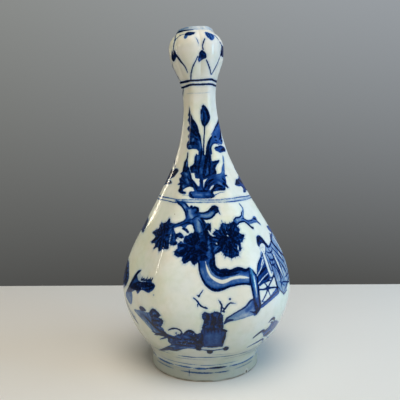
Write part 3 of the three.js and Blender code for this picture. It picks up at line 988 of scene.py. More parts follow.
# %% The tree
def trunk():
    crotch = [
        (-35, 147.4), (-31, 145.6), (-28, 144.8), (-25, 143), (-22.5, 140.5), (-20.5, 138), (-19.8, 135),
        (-21, 133), (-24, 131.7), (-27, 130.7), (-30, 130), (-30, 127), (-26, 128.3), (-23, 129), (-20, 127),
        (-17.5, 129.5), (-14.5, 130.3), (-12, 128.5), (-10.7, 125.5), (-10.8, 120), (-10, 112), (-6.5, 104),
        (-6, 101), (5.2, 101), (5.3, 107), (4.4, 114), (3.5, 120), (2, 125), (0.2, 129), (-2.5, 132),
        (-4, 134.3), (0, 133.9), (4, 134.3), (7, 135.4), (9, 137), (11, 138.7), (14, 139), (15, 142),
        (13, 144), (10, 144.4), (7, 143.2), (5, 141.4), (2.5, 139.6), (-1, 138.9), (-4, 139), (-7, 139.6),
        (-8, 141.5), (-9, 143), (-12, 143), (-15, 144.2), (-18, 143), (-20.5, 144.6), (-23, 146.2),
        (-26, 147.3),
    ]
    pool(crotch, 0.66)
    bark(
        ([(-35, 147.3), (-31, 145.6), (-28, 144.7), (-25, 143), (-22.4, 140.5), (-20.6, 138), (-19.9, 135)],
         1.3, 0.9),
        ([(-19.9, 135), (-21, 133), (-24, 131.7), (-27, 130.7), (-30, 130)], 1.1, 0.88),
        ([(-26, 147), (-23, 146), (-20, 144), (-17.5, 142.7)], 1.3, 0.88),
        ([(-25, 128.6), (-21, 130.8), (-17.5, 131.6), (-13, 131)], 1.5, 0.85),
        ([(-14.5, 142), (-11, 142.9), (-8.7, 142.3), (-8.2, 140.8), (-9.3, 139.3), (-12, 138.8)], 1.9, 0.97),
        ([(-9.5, 139.4), (-5, 138.7), (0, 139), (3, 140), (6, 142), (8.5, 143.6), (11, 144), (15, 142.8)],
         1.4, 0.92),
        ([(-5, 135.2), (0, 134.2), (4, 134.6), (7, 135.7), (9, 137.2), (11, 138.8), (14, 139.2)], 1.5, 0.92),
        ([(6, 140), (9, 142), (13, 143.5)], 1.8, 0.9),
        ([(10, 140.5), (13, 141.5), (15, 140.2)], 1.6, 0.93),
        ([(11.5, 143.5), (14, 140), (15.6, 137.6)], 1.2, 0.93),
        ([(-5.5, 135), (-3, 133.4), (-0.5, 130.5), (1.5, 127), (3, 121), (4.3, 113), (5.2, 106), (5.2, 102)],
         1.8, 0.93),
        ([(-12.5, 131), (-11.2, 127.5), (-10.6, 122), (-10, 114), (-7, 105)], 1.5, 0.9),
        ([(-2, 131), (-1, 126), (0, 121), (0, 114)], 2.4, 0.86),
        ([(-8, 134), (-5, 131.5), (-3, 127)], 1.2, 0.8),
        ([(-17.5, 133.5), (-14, 134), (-10, 136), (-6, 137)], 1, 0.74),
        ([(-22, 143), (-19.5, 140.5), (-18.5, 137)], 0.9, 0.7),
    )
    dab((-16, 143.5), 2.4, 0.97)
    dab((-12, 143), 2.2, 0.97)
    for line, tone in (
        ([(-17.5, 140.5), (-16.5, 137.5), (-14, 135.5)], 0.36),
        ([(-8, 134), (-7, 130), (-6.2, 125), (-6, 121)], 0.36),
        ([(-4, 136.8), (0, 136.4), (4, 137), (7, 138.8)], 0.4),
        ([(-24, 144.5), (-22, 143)], 0.45),
    ):
        tint(line, 3.4, tone)


def bough():
    """The turn of the trunk, with the band of bare clay, and its foot at the corner."""
    body = [
        (-6.3, 105), (-6, 101), (-5.2, 96), (-3.8, 92), (-1.8, 88), (0, 85.8), (2.5, 83.8), (5, 82.8),
        (8, 83), (11, 84), (14, 85.3), (17, 86), (21, 86.8), (25, 86.8), (27.5, 86), (28.3, 82), (28.8, 77),
        (29.3, 72), (30, 66), (28.6, 62.5), (29.5, 61.5), (32, 63.5), (34, 66.5), (34.5, 70), (33.3, 76),
        (33.5, 84), (34.3, 90), (32, 95.5), (29, 98.6), (26, 97.7), (22.5, 99.4), (19, 98.9), (15.5, 97.4),
        (13, 98.4), (9, 97.4), (7.5, 98.2), (6, 100.2), (5.3, 103), (5.3, 107),
    ]
    pool(body, 0.7)
    bark(
        ([(-6.2, 104), (-5.7, 100), (-5.1, 96), (-3.6, 92), (-1.6, 88), (0.2, 86), (2.5, 84.1), (5, 83.1),
          (8, 83.2), (11, 84.2), (14, 85.5), (17, 86.2), (21, 87), (25, 87), (27.6, 86)],
         [1.6, 1.3, 1.3, 1.5, 1.7, 1.8, 2.2, 2.4, 2.2, 1.9, 1.6, 1.4, 1.4, 1.4, 1.4], 0.93),
        ([(5, 107), (4.8, 103), (5.6, 99.8), (7.2, 97.7), (9.2, 96.6), (13, 97), (16, 96.2), (19.5, 97.6),
          (22.5, 98), (26, 96.7), (29, 97.6)], [1.8, 2.2, 2.2, 2.6, 3, 3.4, 2.6, 3, 3, 2.4, 1.4], 0.9),
        ([(2.8, 105), (2.6, 101), (3.8, 97.5), (6, 95), (9.5, 93.6), (13, 94), (17, 94.4), (21, 95)], 2.4,
         0.82),
        ([(11, 95), (13.5, 94.6), (15.5, 95.2)], 2.2, 0.98),
        ([(28, 98), (28.2, 93), (27.8, 88), (28.3, 83), (28.8, 77), (29.4, 72), (30, 68)], 1.4, 0.85),
        ([(31, 96), (33.6, 91), (33.4, 85), (33, 78), (33.4, 71), (34, 67.5)], 1.6, 0.9),
        ([(30.3, 96), (29.6, 90), (30.8, 84)], 1.2, 0.72),
        ([(29.5, 73), (30.8, 67), (31, 63.5)], 3.4, 0.92),
        ([(33, 72), (33.2, 67.5), (31, 62.8)], 2, 0.85),
    )
    tint([(0.5, 97.2), (4.4, 91.5), (10, 89), (17, 91.5), (27.3, 91.2)], 5.5, 0.3, strength=0.8)
    scrape([(-1.2, 103.5), (-0.5, 100.5), (0.5, 97.2), (2.2, 93.7), (4.4, 91.5), (7, 89.9), (10, 89),
            (13, 89.9), (17, 91.5), (21, 92.2), (24.5, 91.8), (27.3, 91.2)],
           [0.5, 1.1, 1.5, 1.8, 2.2, 2.7, 3, 2.6, 2.2, 2.3, 1.8, 0.7])
    stroke([(0.8, 101.5), (1.9, 97.5), (3.6, 94.4), (6, 92.4), (9.5, 91), (13, 91.6), (17, 93.2), (21, 93.9),
            (26, 93)], 0.7, 0.45, "wash")
    for line, tone in (
        ([(-4, 98), (-2, 92.5), (1, 88.5), (4.5, 86.5)], 0.52),
        ([(7, 86.6), (12, 87.3), (18, 89), (25, 89.2)], 0.5),
        ([(31, 92), (31, 84), (31, 77)], 0.3),
    ):
        tint(line, 2.6, tone)
    # The pale tint at turn 31 above and this scrape make a pale streak down the corner: a painted highlight
    # of the glare along that corner.
    scrape([(31.2, 92), (31.1, 86), (31.2, 79)], [0.4, 1, 0.4])


def right_branch():
    branch = [
        (26, 131.7), (28, 134), (30, 135.3), (35, 135.4), (38, 136.1), (41, 138), (45, 139.6), (46, 141.5),
        (44.5, 143.5), (43.5, 145), (45.5, 144.8), (47.5, 143), (49, 140.5), (47, 138), (43.5, 135.5),
        (42, 133.5), (46, 131.8), (52, 131.2), (58, 131.4), (62, 132.5), (66, 132.8), (68.5, 131.2),
        (67, 129), (70, 126), (69, 124.6), (65, 127.3), (58, 128), (51, 128), (47.5, 128.4), (50, 126),
        (52.5, 125.4), (51, 123.8), (46, 126.2), (43, 128.4), (40, 130.4), (36, 130.7), (32, 130.3),
        (29, 129),
    ]
    pool(branch, 0.55)
    strokes(
        ([(26, 131.5), (28, 133.7), (30.5, 134.8), (35, 134.8), (38.5, 135.7), (41.5, 137.6), (45, 139.2)],
         1.2, 0.9),
        ([(28.5, 129.5), (32, 130.9), (36, 131.3), (40, 131), (43.5, 129), (46.5, 127), (50, 124.8),
          (52, 124.9)], [1.2, 1.3, 1.3, 1.4, 1.7, 2, 2.2, 1.4], 0.92),
        ([(44, 144.4), (46, 142.7), (48, 141)], 1.2, 0.62),
        ([(36, 133), (40, 133.5), (43, 132.3), (48, 130.5), (55, 130.2), (60, 130.3)], 1.1, 0.75),
        ([(60, 131.3), (64, 130.6), (67, 130.4)], 2.6, 0.85),
        ([(66, 130), (67.5, 127.5), (70, 125.5)], 1.5, 0.75),
        ([(46, 129), (52, 128.6), (60, 128.8)], 0.9, 0.65),
    )
    tints([[(31, 132.8), (35, 133), (38, 134)], [(42, 136.6), (46, 139.8), (46.5, 142)],
           [(50, 129.6), (56, 129.4)]], 2.4, 0.3)


print("trunk, bough and branch ready")

# %% Clusters of leaves
def leaf_ring(centre, tips, width, tone, start=0.35):
    """Pointed leaves that spread from a place, each drawn from part of the way out to its tip."""
    for tip in tips:
        base = (centre[0] + (tip[0] - centre[0]) * start, centre[1] + (tip[1] - centre[1]) * start)
        leaf(base, tip, width, tone, belly=0.5)


def bristles(centre, outline, reach, seed):
    """Small teeth along the edge of a clump of leaves, and paler streaks that run out towards them."""
    chance = np.random.default_rng(seed)
    for spot in flowing(outline, True, 1.5):
        out = (spot - centre) / np.hypot(*(spot - centre))
        lean = chance.uniform(-0.45, 0.45) * np.array([-out[1], out[0]])
        tip = spot + (out + lean) * chance.uniform(0.2, reach)
        stroke([tuple(spot - 2.2 * out), tuple(tip)], [1.0, 0.2], chance.uniform(0.8, 0.95))
        if chance.random() < 0.5:
            streak = [tuple(spot - 1.0 * out), tuple(spot - chance.uniform(2.5, 4.5) * out)]
            tint(streak, 1, 0.6)
            scrape(streak, [0.1, 0.5], ("ink",))


def stipple(outline, count, seed):
    """Small pale specks inside a painted patch, where the brush skipped over the dry clay."""
    chance = np.random.default_rng(seed)
    corners = np.array(outline, float)
    for _ in range(count):
        spot = chance.uniform(corners.min(0), corners.max(0))
        if outline_distance(spot[:1], spot[1:], corners)[0] < -1:
            scrape([tuple(spot), tuple(spot + chance.uniform(0.3, 1.4, 2))], [0.5, 0.2])


def left_cluster():
    outline = [
        (-29, 129.6), (-32, 130.6), (-35, 131), (-37, 133.8), (-39, 133.5), (-41, 131), (-43, 130.2),
        (-46, 129.4), (-50, 129.6), (-51.5, 127.3), (-50.5, 125), (-55, 123.4), (-60, 120.7), (-58, 119.9),
        (-54, 119.3), (-51, 118), (-53, 115.5), (-55.5, 114), (-54, 112.9), (-48.5, 113.7), (-46.5, 112.6),
        (-47.5, 110), (-46, 109.6), (-43.5, 111.2), (-41, 111.3), (-39.5, 109.2), (-38, 109), (-36, 110.2),
        (-35, 112.4), (-32, 111.6), (-29.5, 112.2), (-30.5, 117), (-30.6, 124),
    ]
    pool(outline, 0.9)
    link = [
        (-30, 127.4), (-27.5, 124.6), (-26, 123.2), (-23, 124.3), (-20.5, 123), (-19, 121), (-21.5, 119.7),
        (-24, 120), (-25.3, 118), (-23.6, 115.6), (-26, 114.8), (-28.3, 114.8), (-29.8, 116), (-30, 121),
    ]
    pool(link, 0.88)
    leaf_ring((-40, 121),
              [(-38, 133.5), (-45, 129.8), (-51, 128.5), (-56, 123), (-60, 120.5), (-55, 114), (-47, 109.8),
               (-39, 109.2), (-34, 110.5), (-33, 131), (-31, 113)], 3.4, 0.98)
    leaf_ring((-38, 121),
              [(-35, 128.5), (-41, 128), (-47, 125), (-49, 120), (-46, 115), (-41, 113), (-34, 115),
               (-33, 122)], 2.8, 0.97)
    leaf_ring((-26, 119), [(-30, 126), (-22, 124), (-19.3, 121), (-24, 115.5), (-29, 115.3)], 2.6, 0.96)
    veins([[(-30.4, 124), (-30.4, 117.5)], [(-35.5, 117), (-33, 113)], [(-33, 118.5), (-31.5, 113.5)],
           [(-38.5, 118), (-37.5, 113)], [(-43.5, 118), (-47, 114.5)], [(-45, 122), (-52, 121)],
           [(-43, 125), (-47.5, 127.5)], [(-39.5, 125.5), (-38.5, 131)], [(-27, 121), (-28.5, 117)]], 0.66)
    bristles((-40, 121), outline, 1.6, 1)
    bristles((-26, 120), link, 0.7, 2)
    # This scrape and the first vein above, along the corner at turn -30, are a painted highlight on that
    # corner.
    scrape([(-30.3, 124), (-30.4, 121), (-30.3, 117.8)], [0.2, 0.7, 0.2])


def middle_cluster():
    outline = [
        (-23.5, 115.6), (-22.3, 113.3), (-24.5, 110.5), (-24, 108.3), (-21, 106.6), (-19.2, 107.6),
        (-18, 106.8), (-18.3, 104.4), (-17, 102.4), (-15.5, 102), (-13.4, 103.6), (-12, 104), (-10.6, 101.6),
        (-9, 101), (-7.4, 102.6), (-6, 104), (-2, 104.4), (2, 106), (5, 109.5), (6.5, 113), (5.8, 118),
        (4.6, 121.3), (4.2, 124.6), (4.7, 127), (4.6, 130.6), (2, 131.4), (0, 129.8), (-2.5, 126),
        (-5, 124.4), (-9, 124.6), (-13, 124.3), (-16, 122.3), (-18.6, 121.6), (-19, 118.6), (-21.5, 117.6),
    ]
    pool(outline, 0.9)
    leaf_ring((-9, 113),
              [(-24, 109), (-20, 107), (-16.5, 102.3), (-9.3, 101.2), (-4, 103.8), (-22.5, 115.5),
               (-18.5, 120.5), (-14, 123.8), (-8, 124), (1, 105.5)], 3.8, 0.98, 0.3)
    leaf_ring((-8, 114),
              [(-19, 111), (-14.5, 106), (-8, 106), (-2, 107), (-14, 119), (-6, 121), (1, 119), (4.5, 111),
               (3.5, 115)], 3.2, 0.99, 0.2)
    leaf_ring((0, 123), [(4.4, 130.5), (4.3, 127), (1, 131), (4, 122)], 2.8, 0.97, 0.25)
    veins([[(-18, 113.5), (-21.5, 111)], [(-15, 110), (-18.3, 106.8)], [(-11.8, 108.5), (-13, 104.6)],
           [(-16, 116), (-20.5, 116.6)], [(-5, 108.5), (-6, 104.5)], [(1, 112), (3, 109)]], 0.68)
    bristles((-8, 114), outline, 1.1, 3)
    tint([(1.5, 117), (2.2, 112), (1.5, 107)], 3.2, 0.55)
    tint([(1.5, 117), (2.2, 112), (1.5, 107)], 2.6, 0.5, "ink", 0.8)


def right_cluster():
    outline = [
        (5, 122.6), (7, 124.6), (9, 126.2), (12, 126.2), (13, 128), (14.3, 130), (16, 131.6), (18.5, 130.9),
        (20.5, 130.4), (24, 131.2), (26.5, 132.4), (28.6, 130.4), (28.2, 128.3), (30.6, 126.4),
        (28.3, 124.4), (30, 122.8), (33.2, 121.6), (31, 119.2), (29, 117), (27.8, 118.6), (27, 115),
        (26.4, 112), (25.2, 110.3), (24.6, 113.8), (24, 109), (23.4, 107.2), (20.4, 106.6), (18, 105.4),
        (16, 106.8), (14, 106.9), (12.3, 109.6), (10, 111), (7.5, 109.4), (5.4, 108.2), (3.6, 110),
        (3.4, 114), (4.6, 118),
    ]
    pool(outline, 0.88)
    leaf_ring((17, 118),
              [(9, 126), (15.5, 131), (21, 130.6), (27, 131.6), (30.4, 126.2), (33, 121.5), (29, 117.2),
               (25.2, 110.6), (22.5, 107.2), (18, 105.8), (13.5, 107.4), (6, 108.8), (5.2, 122.4), (5, 115)],
              3.6, 0.98, 0.32)
    leaf_ring((18, 118.5),
              [(12, 123), (16.5, 126.5), (22, 126.5), (26.5, 125), (27.5, 120.5), (24, 113), (20, 110.5),
               (15, 111), (10, 114), (9.5, 119)], 3, 0.97, 0.15)
    veins([[(11, 114), (7.5, 111)], [(14, 112), (13, 108.6)], [(20, 113), (21.5, 108.6)],
           [(25.5, 121), (30, 121.3)], [(23, 125), (25.5, 129.5)], [(17.5, 125.5), (17.3, 130)],
           [(10, 119), (5.6, 119.5)], [(12.5, 122), (9, 124.8)], [(8, 117), (5, 116)]], 0.64, 0.5)
    bristles((17, 118), outline, 1.7, 4)
    for place in ((18, 124.8), (18.1, 122.2), (8.2, 116.6)):
        scrape([place, (place[0] + 0.3, place[1] - 0.6)], 0.9)
    scrape([(24.7, 115), (24.3, 113), (23.8, 110.8)], [0.3, 1.2, 0.3])
    tint([(7, 112.5), (10, 115.5)], 2.2, 0.55)


def holes_between_clusters():
    bare([(-17, 129.2), (-14.5, 129.6), (-12.2, 128.1), (-10.9, 125.5), (-11.4, 123.8), (-14, 124.3),
          (-16.2, 124), (-17, 122.2), (-19, 121.5), (-21, 124.3), (-18.5, 125.4), (-17.3, 127)])
    scrape([(-24.6, 126.3), (-23.4, 126.2)], 3.2)
    scrape([(-24, 120.4), (-21.3, 119.3), (-19, 117.2)], [0.9, 1.6, 0.6])
    scrape([(1.9, 126), (4, 123.2), (6, 121.8), (8, 121.8)], [0.8, 1.6, 1, 0.4])
    stroke([(-21, 127.2), (-18, 126.2), (-16.3, 124.6)], [1.6, 2.2, 1.8], 0.93)


def tree():
    trunk()
    bough()
    right_branch()
    left_cluster()
    middle_cluster()
    right_cluster()
    holes_between_clusters()


print("tree ready")

# %% [markdown]
# Beside the tree a scholar or lady stands behind a zigzag garden fence. The figure is only a few brush
# marks: a dark cap of hair, a plain oval face with two calm eyes and a small mouth, a collar, and the
# falling folds of a robe.

# %% The figure and the fence
def figure():
    robe = [
        (44, 104.5), (47.5, 107), (53, 106.5), (60, 109.5), (66, 109), (72, 111), (81, 115), (88, 117.6),
        (91.5, 113), (89.5, 105), (92.5, 97), (90, 88), (92, 80), (87, 74.5), (80, 75), (74, 70.5),
        (68, 68.4), (63, 71), (58, 74.5), (56, 82), (54, 86), (48.5, 86), (47.5, 95), (46.5, 101),
    ]
    pool(robe, 0.28)
    cap = [
        (46, 112.5), (47.5, 115.8), (50, 118), (54, 118.6), (58, 117.4), (60.5, 114.5), (62, 111.5),
        (64, 109), (62, 107.6), (59.5, 108.5), (58, 110.5), (56, 112), (53, 112.2), (50, 111.5),
        (47.5, 110.5),
    ]
    pool(cap, 0.9)
    stroke([(47, 112.5), (50, 115.5), (55, 116.3), (59, 113.5), (62, 109.5)], 2.6, 0.97)
    scrape([(52, 112.6), (55, 114)], [0.3, 0.6], ("ink",))
    face = [
        (47.8, 109.5), (49, 111.2), (52, 112), (55, 111.6), (56.8, 109.5), (56.4, 106.8), (54, 104.6),
        (51, 104.2), (48.9, 105.6),
    ]
    bare(face)
    stroke([(47.7, 110), (47.9, 107), (49.3, 104.9), (52, 104)], 0.4, 0.7)
    stroke([(49.3, 109.2), (50.4, 109.4)], 0.4, 0.8)
    stroke([(52.8, 109.3), (54.1, 109.2)], 0.4, 0.8)
    stroke([(51.2, 108.2), (51.4, 107.3)], 0.32, 0.5)
    stroke([(50.7, 106.2), (52.2, 106.2)], 0.38, 0.7)
    stroke([(45, 103.2), (48, 104.7), (49.5, 105.4)], 1.3, 0.88)
    stroke([(51, 104), (54, 104.6), (57, 107), (59, 109)], 1, 0.75)
    scrape([(50.3, 103.4), (50.3, 98), (50.4, 92), (51.2, 88), (54, 87.6), (58, 91)],
           [3.4, 3.4, 3.4, 3, 1.6, 0.6])
    stroke([(48, 104), (47.6, 98), (47.7, 92), (48.6, 86.6), (51.5, 85.6), (55.5, 87.3)],
           [1, 1.1, 1.1, 1, 0.9, 0.6], 0.9)
    stroke([(52.8, 103), (53, 97), (53.4, 91.5), (55.5, 90), (58.5, 91)], [0.7, 0.9, 1, 0.8, 0.4], 0.86)
    scrape([(66.5, 100), (67.5, 94), (69, 87), (70, 83)], [2.6, 3.6, 3, 1.4])
    scrape([(82, 113), (85, 104), (88, 96)], 1.5)
    scrape([(77, 101), (80, 94), (82, 86)], 1.3)
    scrape([(73, 88), (74, 82), (75, 77)], 1.2)
    scrape([(61, 92), (62, 86), (63, 80)], 1)
    strokes(
        ([(55, 106), (60, 103.5), (65, 103.6), (70, 106)], 1.2, 0.8),
        ([(58, 109.5), (63, 107.6), (68, 108.4), (74, 111.4), (81, 115.3), (88, 117.8)], 1.3, 0.78),
        ([(79, 116.4), (74, 110.4), (76, 106), (80, 100.6), (86, 95.5), (91, 92)],
         [1.4, 2.4, 2.6, 2.6, 2.6, 1.2], 0.88),
        ([(68, 107.6), (71, 103.6), (75, 98.4), (79, 93), (82, 87)], 1.5, 0.82),
        ([(61, 106.8), (65, 101.1), (66, 96.8), (67, 90.1), (69, 83.4), (70, 78.8)], 1.6, 0.86),
        ([(84, 112), (87, 106), (91, 100)], 2.2, 0.85),
        ([(55, 103), (58, 98.5), (63, 97.6), (66, 99)], 1.6, 0.86),
        ([(54.5, 99), (56.5, 95), (61, 93.6), (65, 95)], 1.3, 0.8),
        ([(56, 103.5), (56.5, 97), (56.3, 91), (57.3, 85)], 1.4, 0.85),
        ([(60, 101), (60.5, 94.5), (61, 89), (62, 82)], 1.2, 0.75),
        ([(64.5, 101.5), (64.7, 94), (66.2, 87), (67.5, 80)], 1.2, 0.82),
        ([(70.3, 102), (71.2, 95), (72, 88), (73, 80)], 1.3, 0.85),
        ([(59, 95.1), (64, 88.9), (66, 82.2), (65, 78.3), (65, 71)], 1.5, 0.85),
        ([(91, 89.6), (86, 85), (84.5, 78.5), (77, 74.7), (67, 69.4)], 1.6, 0.84),
        ([(72, 96), (75, 90), (78, 84), (79, 77)], 1.8, 0.8),
        ([(55.8, 88), (56.6, 82), (57, 76), (58, 72)], 2.4),
        ([(58, 77), (61, 73), (64.5, 70), (67.5, 67.8), (74, 69)], [1, 1.2, 1.2, 1.4, 1], 0.85),
        ([(64, 78), (70, 77.3), (76, 75.3), (82, 73.8), (87, 74)], 1.2, 0.8),
        ([(62, 80.5), (66, 77), (71, 73.5)], 1, 0.7),
        ([(74, 80), (80, 80.6), (89, 82.6)], 1.4, 0.72),
        ([(77, 106), (80, 98), (81, 88), (84, 78)], 1.2, 0.75),
        ([(86, 110), (88, 98), (89, 88)], 1.4, 0.75),
        (robe[7:14], 1.2, 0.8),
    )
    tints([[(58.5, 101), (58.6, 94), (59, 86)], [(62.5, 100), (62.8, 92), (64, 84)],
           [(74, 105), (76, 96), (77, 86)]], 3, 0.42)
    pool([(80, 122), (84, 122.5), (90, 121), (92, 117), (86, 116.5), (81, 118)], 0.72, "ink")


def fence():
    rail = [
        (34, 92.5), (36, 97), (38.5, 100.3), (42, 102.6), (46.5, 105), (47.3, 102.6), (43, 100), (40.4, 97),
        (38, 93),
    ]
    pool(rail, 0.72)
    stroke([(34.5, 94), (37, 98.6), (41, 101.6), (46.5, 104.3)], 1.2, 0.86)
    panel = [
        (33.6, 91), (37, 94.3), (41, 97), (46.8, 100), (47.5, 92), (48.4, 86), (44, 84.5), (38, 84.6),
        (34, 84),
    ]
    pool(panel, 0.8)
    scrape([(34, 91.6), (38, 94.4), (42, 96.8), (46.5, 99.3)], 0.9)
    scrape([(33.5, 85.6), (38, 88), (43, 89.5), (47.8, 90.2)], 0.9)
    strokes(
        ([(36, 91.5), (40, 93.3), (44, 94.3), (47.5, 95)], 2.2),
        ([(39, 87), (43, 87.6), (47.5, 88)], 1.8, 0.9),
        ([(40, 84.8), (41.6, 82.6), (42.5, 80), (40, 76.6), (35, 71.5)], [1, 1.3, 2.2, 1.5, 1], 0.88),
        ([(33.5, 81.5), (38, 80.4), (42.5, 80), (47, 79), (53, 77.6), (57, 76)],
         [1.2, 1.3, 2.4, 1.5, 1.3, 1], 0.86),
        ([(42.5, 80), (43.5, 76.6), (45, 72.5)], [2, 1.3, 0.9], 0.86),
        ([(42.5, 80), (46, 82), (51, 84.2), (55, 86)], [2, 1.4, 1.3, 1.4], 0.86),
        ([(41, 84.8), (46, 84.8), (50, 84)], 1, 0.8),
        ([(34, 73), (37, 71), (44, 71)], 1, 0.6),
    )


print("figure and fence ready")

# %% Ground, hill and clouds of rock
def hill():
    wash = [
        (10.5, 57.5), (12, 62), (14, 63.8), (17, 66.2), (20, 68.2), (23, 70.2), (25, 72.7), (27, 75),
        (29.3, 75.3), (29.5, 69), (29, 63), (25.5, 62), (21, 60.5), (17, 59.6), (14, 59.4), (12.6, 58.4),
    ]
    pool(wash, 0.4)
    stroke([(10.6, 57.7), (12, 61.8), (14, 63.4), (17, 65.8), (20, 67.8), (23, 69.8), (25, 72.3), (27, 74.6),
            (29, 75)], [1.6, 1.4, 1.1, 1, 1.1, 1.4, 1.6, 1.6, 1], 0.78)
    stroke([(11, 58.2), (13, 60), (16, 60.4)], 2.4, 0.72)
    tint([(15, 61.3), (20, 62.5), (25, 64)], 3.4, 0.28)
    tint([(24, 67), (27, 70), (28, 73)], 3, 0.62)
    band = [
        (32.5, 68.2), (38, 71), (44, 73), (50, 75), (57, 76.5), (60, 73.5), (58, 71), (50, 70), (42, 68.8),
        (35, 66.8),
    ]
    pool(band, 0.6)
    stroke([(33, 68.6), (40, 71), (48, 72.5), (57, 73.5)], 1.6, 0.7)
    stroke([(26, 66), (30, 64.5), (33, 66.5)], 2, 0.86)


def left_ledge():
    """A dark leaning rock on the left side, with a bare spot at its peak and a pale wash below it."""
    body = [
        (-73.5, 68.6), (-71, 72.5), (-69, 76), (-67, 80), (-65, 84), (-62.5, 87.6), (-59.5, 90.2),
        (-55.5, 91.2), (-57.5, 88.6), (-59.5, 86), (-57, 83.2), (-54, 82.6), (-50, 82.9), (-46, 84.2),
        (-43, 85.4), (-40, 86.4), (-36.5, 86), (-34, 84.6), (-35.5, 81), (-38, 78.9), (-40, 77.6),
        (-46, 77.7), (-50, 76.7), (-52.5, 73.6), (-55, 72.6), (-57.5, 74.6), (-60, 73.4), (-63, 71.6),
        (-67, 69.6), (-70, 68.4),
    ]
    pool(body, 0.84)
    strokes(
        ([(-72, 69.5), (-68, 76), (-64.5, 82), (-60, 88), (-56.5, 90.5)], 2.6),
        ([(-66, 73), (-60, 78), (-52, 80.5), (-44, 82.5), (-36, 84.5)], 4.4),
        ([(-62, 75), (-56, 76), (-50, 78)], 3),
        ([(-45, 79), (-40, 80), (-36, 83)], 2.2),
    )
    chance = np.random.default_rng(5)
    for turn in np.arange(-52, -37, 1.9):
        low = 84.3 + 0.2 * (turn + 52)
        stroke([(turn, low), (turn + chance.uniform(0.3, 1.2), low + chance.uniform(1.2, 2.6))], [2.0, 0.9],
               0.97)
    thinned([[(turn, 81), (turn + 1, 79)] for turn in np.arange(-62, -35, 2.4)], 0.62, 1.3, 1.2)
    pool([(-60, 88), (-57, 89), (-53, 87), (-51, 84), (-56, 83), (-60, 86)], 0.14)
    below = [
        (-74, 68.5), (-75.5, 64), (-72, 61.5), (-66, 59.8), (-62.5, 63), (-62, 68), (-64, 71), (-69, 68.6),
    ]
    pool(below, 0.5)
    tint([(-70, 67), (-66, 64)], 3, 0.44)
    stipple(body, 30, 12)
    stroke([(-76, 60), (-73, 56), (-69, 52), (-64, 48.5), (-59, 45.6)], [1.2, 2.4, 1.8, 2.6, 1.4], 0.85)
    stroke([(-66, 54), (-63, 51), (-60, 49.5)], 1.2, 0.5)


def edge_patches():
    """A rock and a spray of leaves past the left edge of the garden, and a stone low on the right."""
    rock = [
        (-97, 90), (-91, 95), (-85, 93), (-80, 91), (-76, 86), (-73, 80), (-75, 74), (-82, 69), (-88, 71),
        (-93, 69), (-97, 76), (-94, 83),
    ]
    leaves = [
        (-98, 127), (-92, 131.5), (-86, 130), (-80, 128), (-79, 124), (-77.5, 119.5), (-80, 117.8),
        (-86, 119), (-92, 117), (-97, 121),
    ]
    stone = [(76.5, 22), (76, 27), (79, 31), (84, 29.6), (88, 33), (94, 31), (99, 25), (92, 22), (84, 19.5)]
    for outline, centre, tone, teeth in (
        (rock, (-85, 81), 0.86, 1.2), (leaves, (-88, 124), 0.84, 1.6), (stone, (86, 26), 0.62, 0.6),
    ):
        pool(outline, tone)
        bristles(centre, outline, teeth, 8)
        stipple(outline, 14, 9)
    stroke([(-90, 91), (-83, 86), (-78, 79), (-84, 72)], 4, 0.96)
    stroke([(-92, 128), (-82, 125), (-79, 120)], 3.5, 0.95)


def shrub():
    wash = [
        (-60, 57), (-53, 59.4), (-47, 61.2), (-42, 61.3), (-38, 62.4), (-37.5, 57), (-34, 52.6), (-29, 52),
        (-28, 47.3), (-23, 45.8), (-20, 41.4), (-25, 40.2), (-30, 43.6), (-37, 43.8), (-42, 48), (-49, 52.7),
    ]
    pool(wash, 0.5)
    tint([(-50, 56.6), (-44, 57.5), (-40, 57)], 3.4, 0.64)
    tint([(-57, 56.4), (-52, 56.5)], 2.4, 0.34)
    tint([(-47, 52.6), (-42, 49.6), (-37, 46)], 2, 0.28)
    stroke([(-46, 58), (-41, 55.4), (-37, 52), (-33, 48.6), (-27, 46)], [0.6, 2, 2.4, 2.6, 1.8], 0.84)
    stroke([(-40, 45), (-34, 44.2), (-28, 44.6), (-22, 43)], [0.8, 2, 2.6, 1.6], 0.9)
    pool([(-51, 62.6), (-48, 64.5), (-44, 64.4), (-42, 62.6), (-47, 60.8), (-50, 61)], 0.85, "ink")
    clump = [
        (-38.5, 62), (-36.8, 65.2), (-35, 66.8), (-32.8, 66.4), (-30.6, 64.8), (-29.3, 62.6), (-31, 60.3),
        (-29, 60), (-27.8, 58.4), (-28.4, 55.6), (-29.6, 53.6), (-31, 51), (-29.4, 48.6), (-27, 46.4),
        (-25, 44.8), (-29, 45), (-32.8, 47.6), (-36.6, 50.6), (-37.6, 54), (-37.4, 58),
    ]
    pool(clump, 0.86)
    strokes(
        ([(-37, 63), (-34.5, 65.5), (-31.5, 64), (-30, 61.8)], 1.7),
        ([(-36.5, 59.6), (-33, 61.5), (-30.5, 59.6)], 1.6),
        ([(-36.6, 55.6), (-33, 57.4), (-29.2, 56.4)], 1.6),
        ([(-35.6, 52), (-32.6, 53.4), (-30.4, 52)], 1.5),
        ([(-33.6, 48.6), (-30.4, 48), (-26.4, 45.4)], 1.4),
        tone=0.95,
    )
    for place in ((-33.5, 63.6), (-32.6, 59.4), (-32.2, 55.2), (-32.4, 51.2)):
        tint([place, (place[0] + 1, place[1])], 2, 0.5)
    bristles((-34, 59), clump, 0.5, 6)
    stipple(clump, 16, 13)
    stipple(wash, 14, 14)
    stroke([(-43, 62.6), (-41, 60.6), (-39.6, 58)], 1, 0.8)
    stroke([(-38.5, 42.6), (-36, 43.6), (-33, 45.2), (-28, 46.6)], [0.8, 1.8, 2.2, 1.2], 0.86)
    stroke([(-35, 39.2), (-31, 41.6), (-27, 44)], [0.6, 1.4, 1.6], 0.8)
    stroke([(-40, 50.5), (-38.6, 46.4), (-36, 44.5)], 1, 0.6)


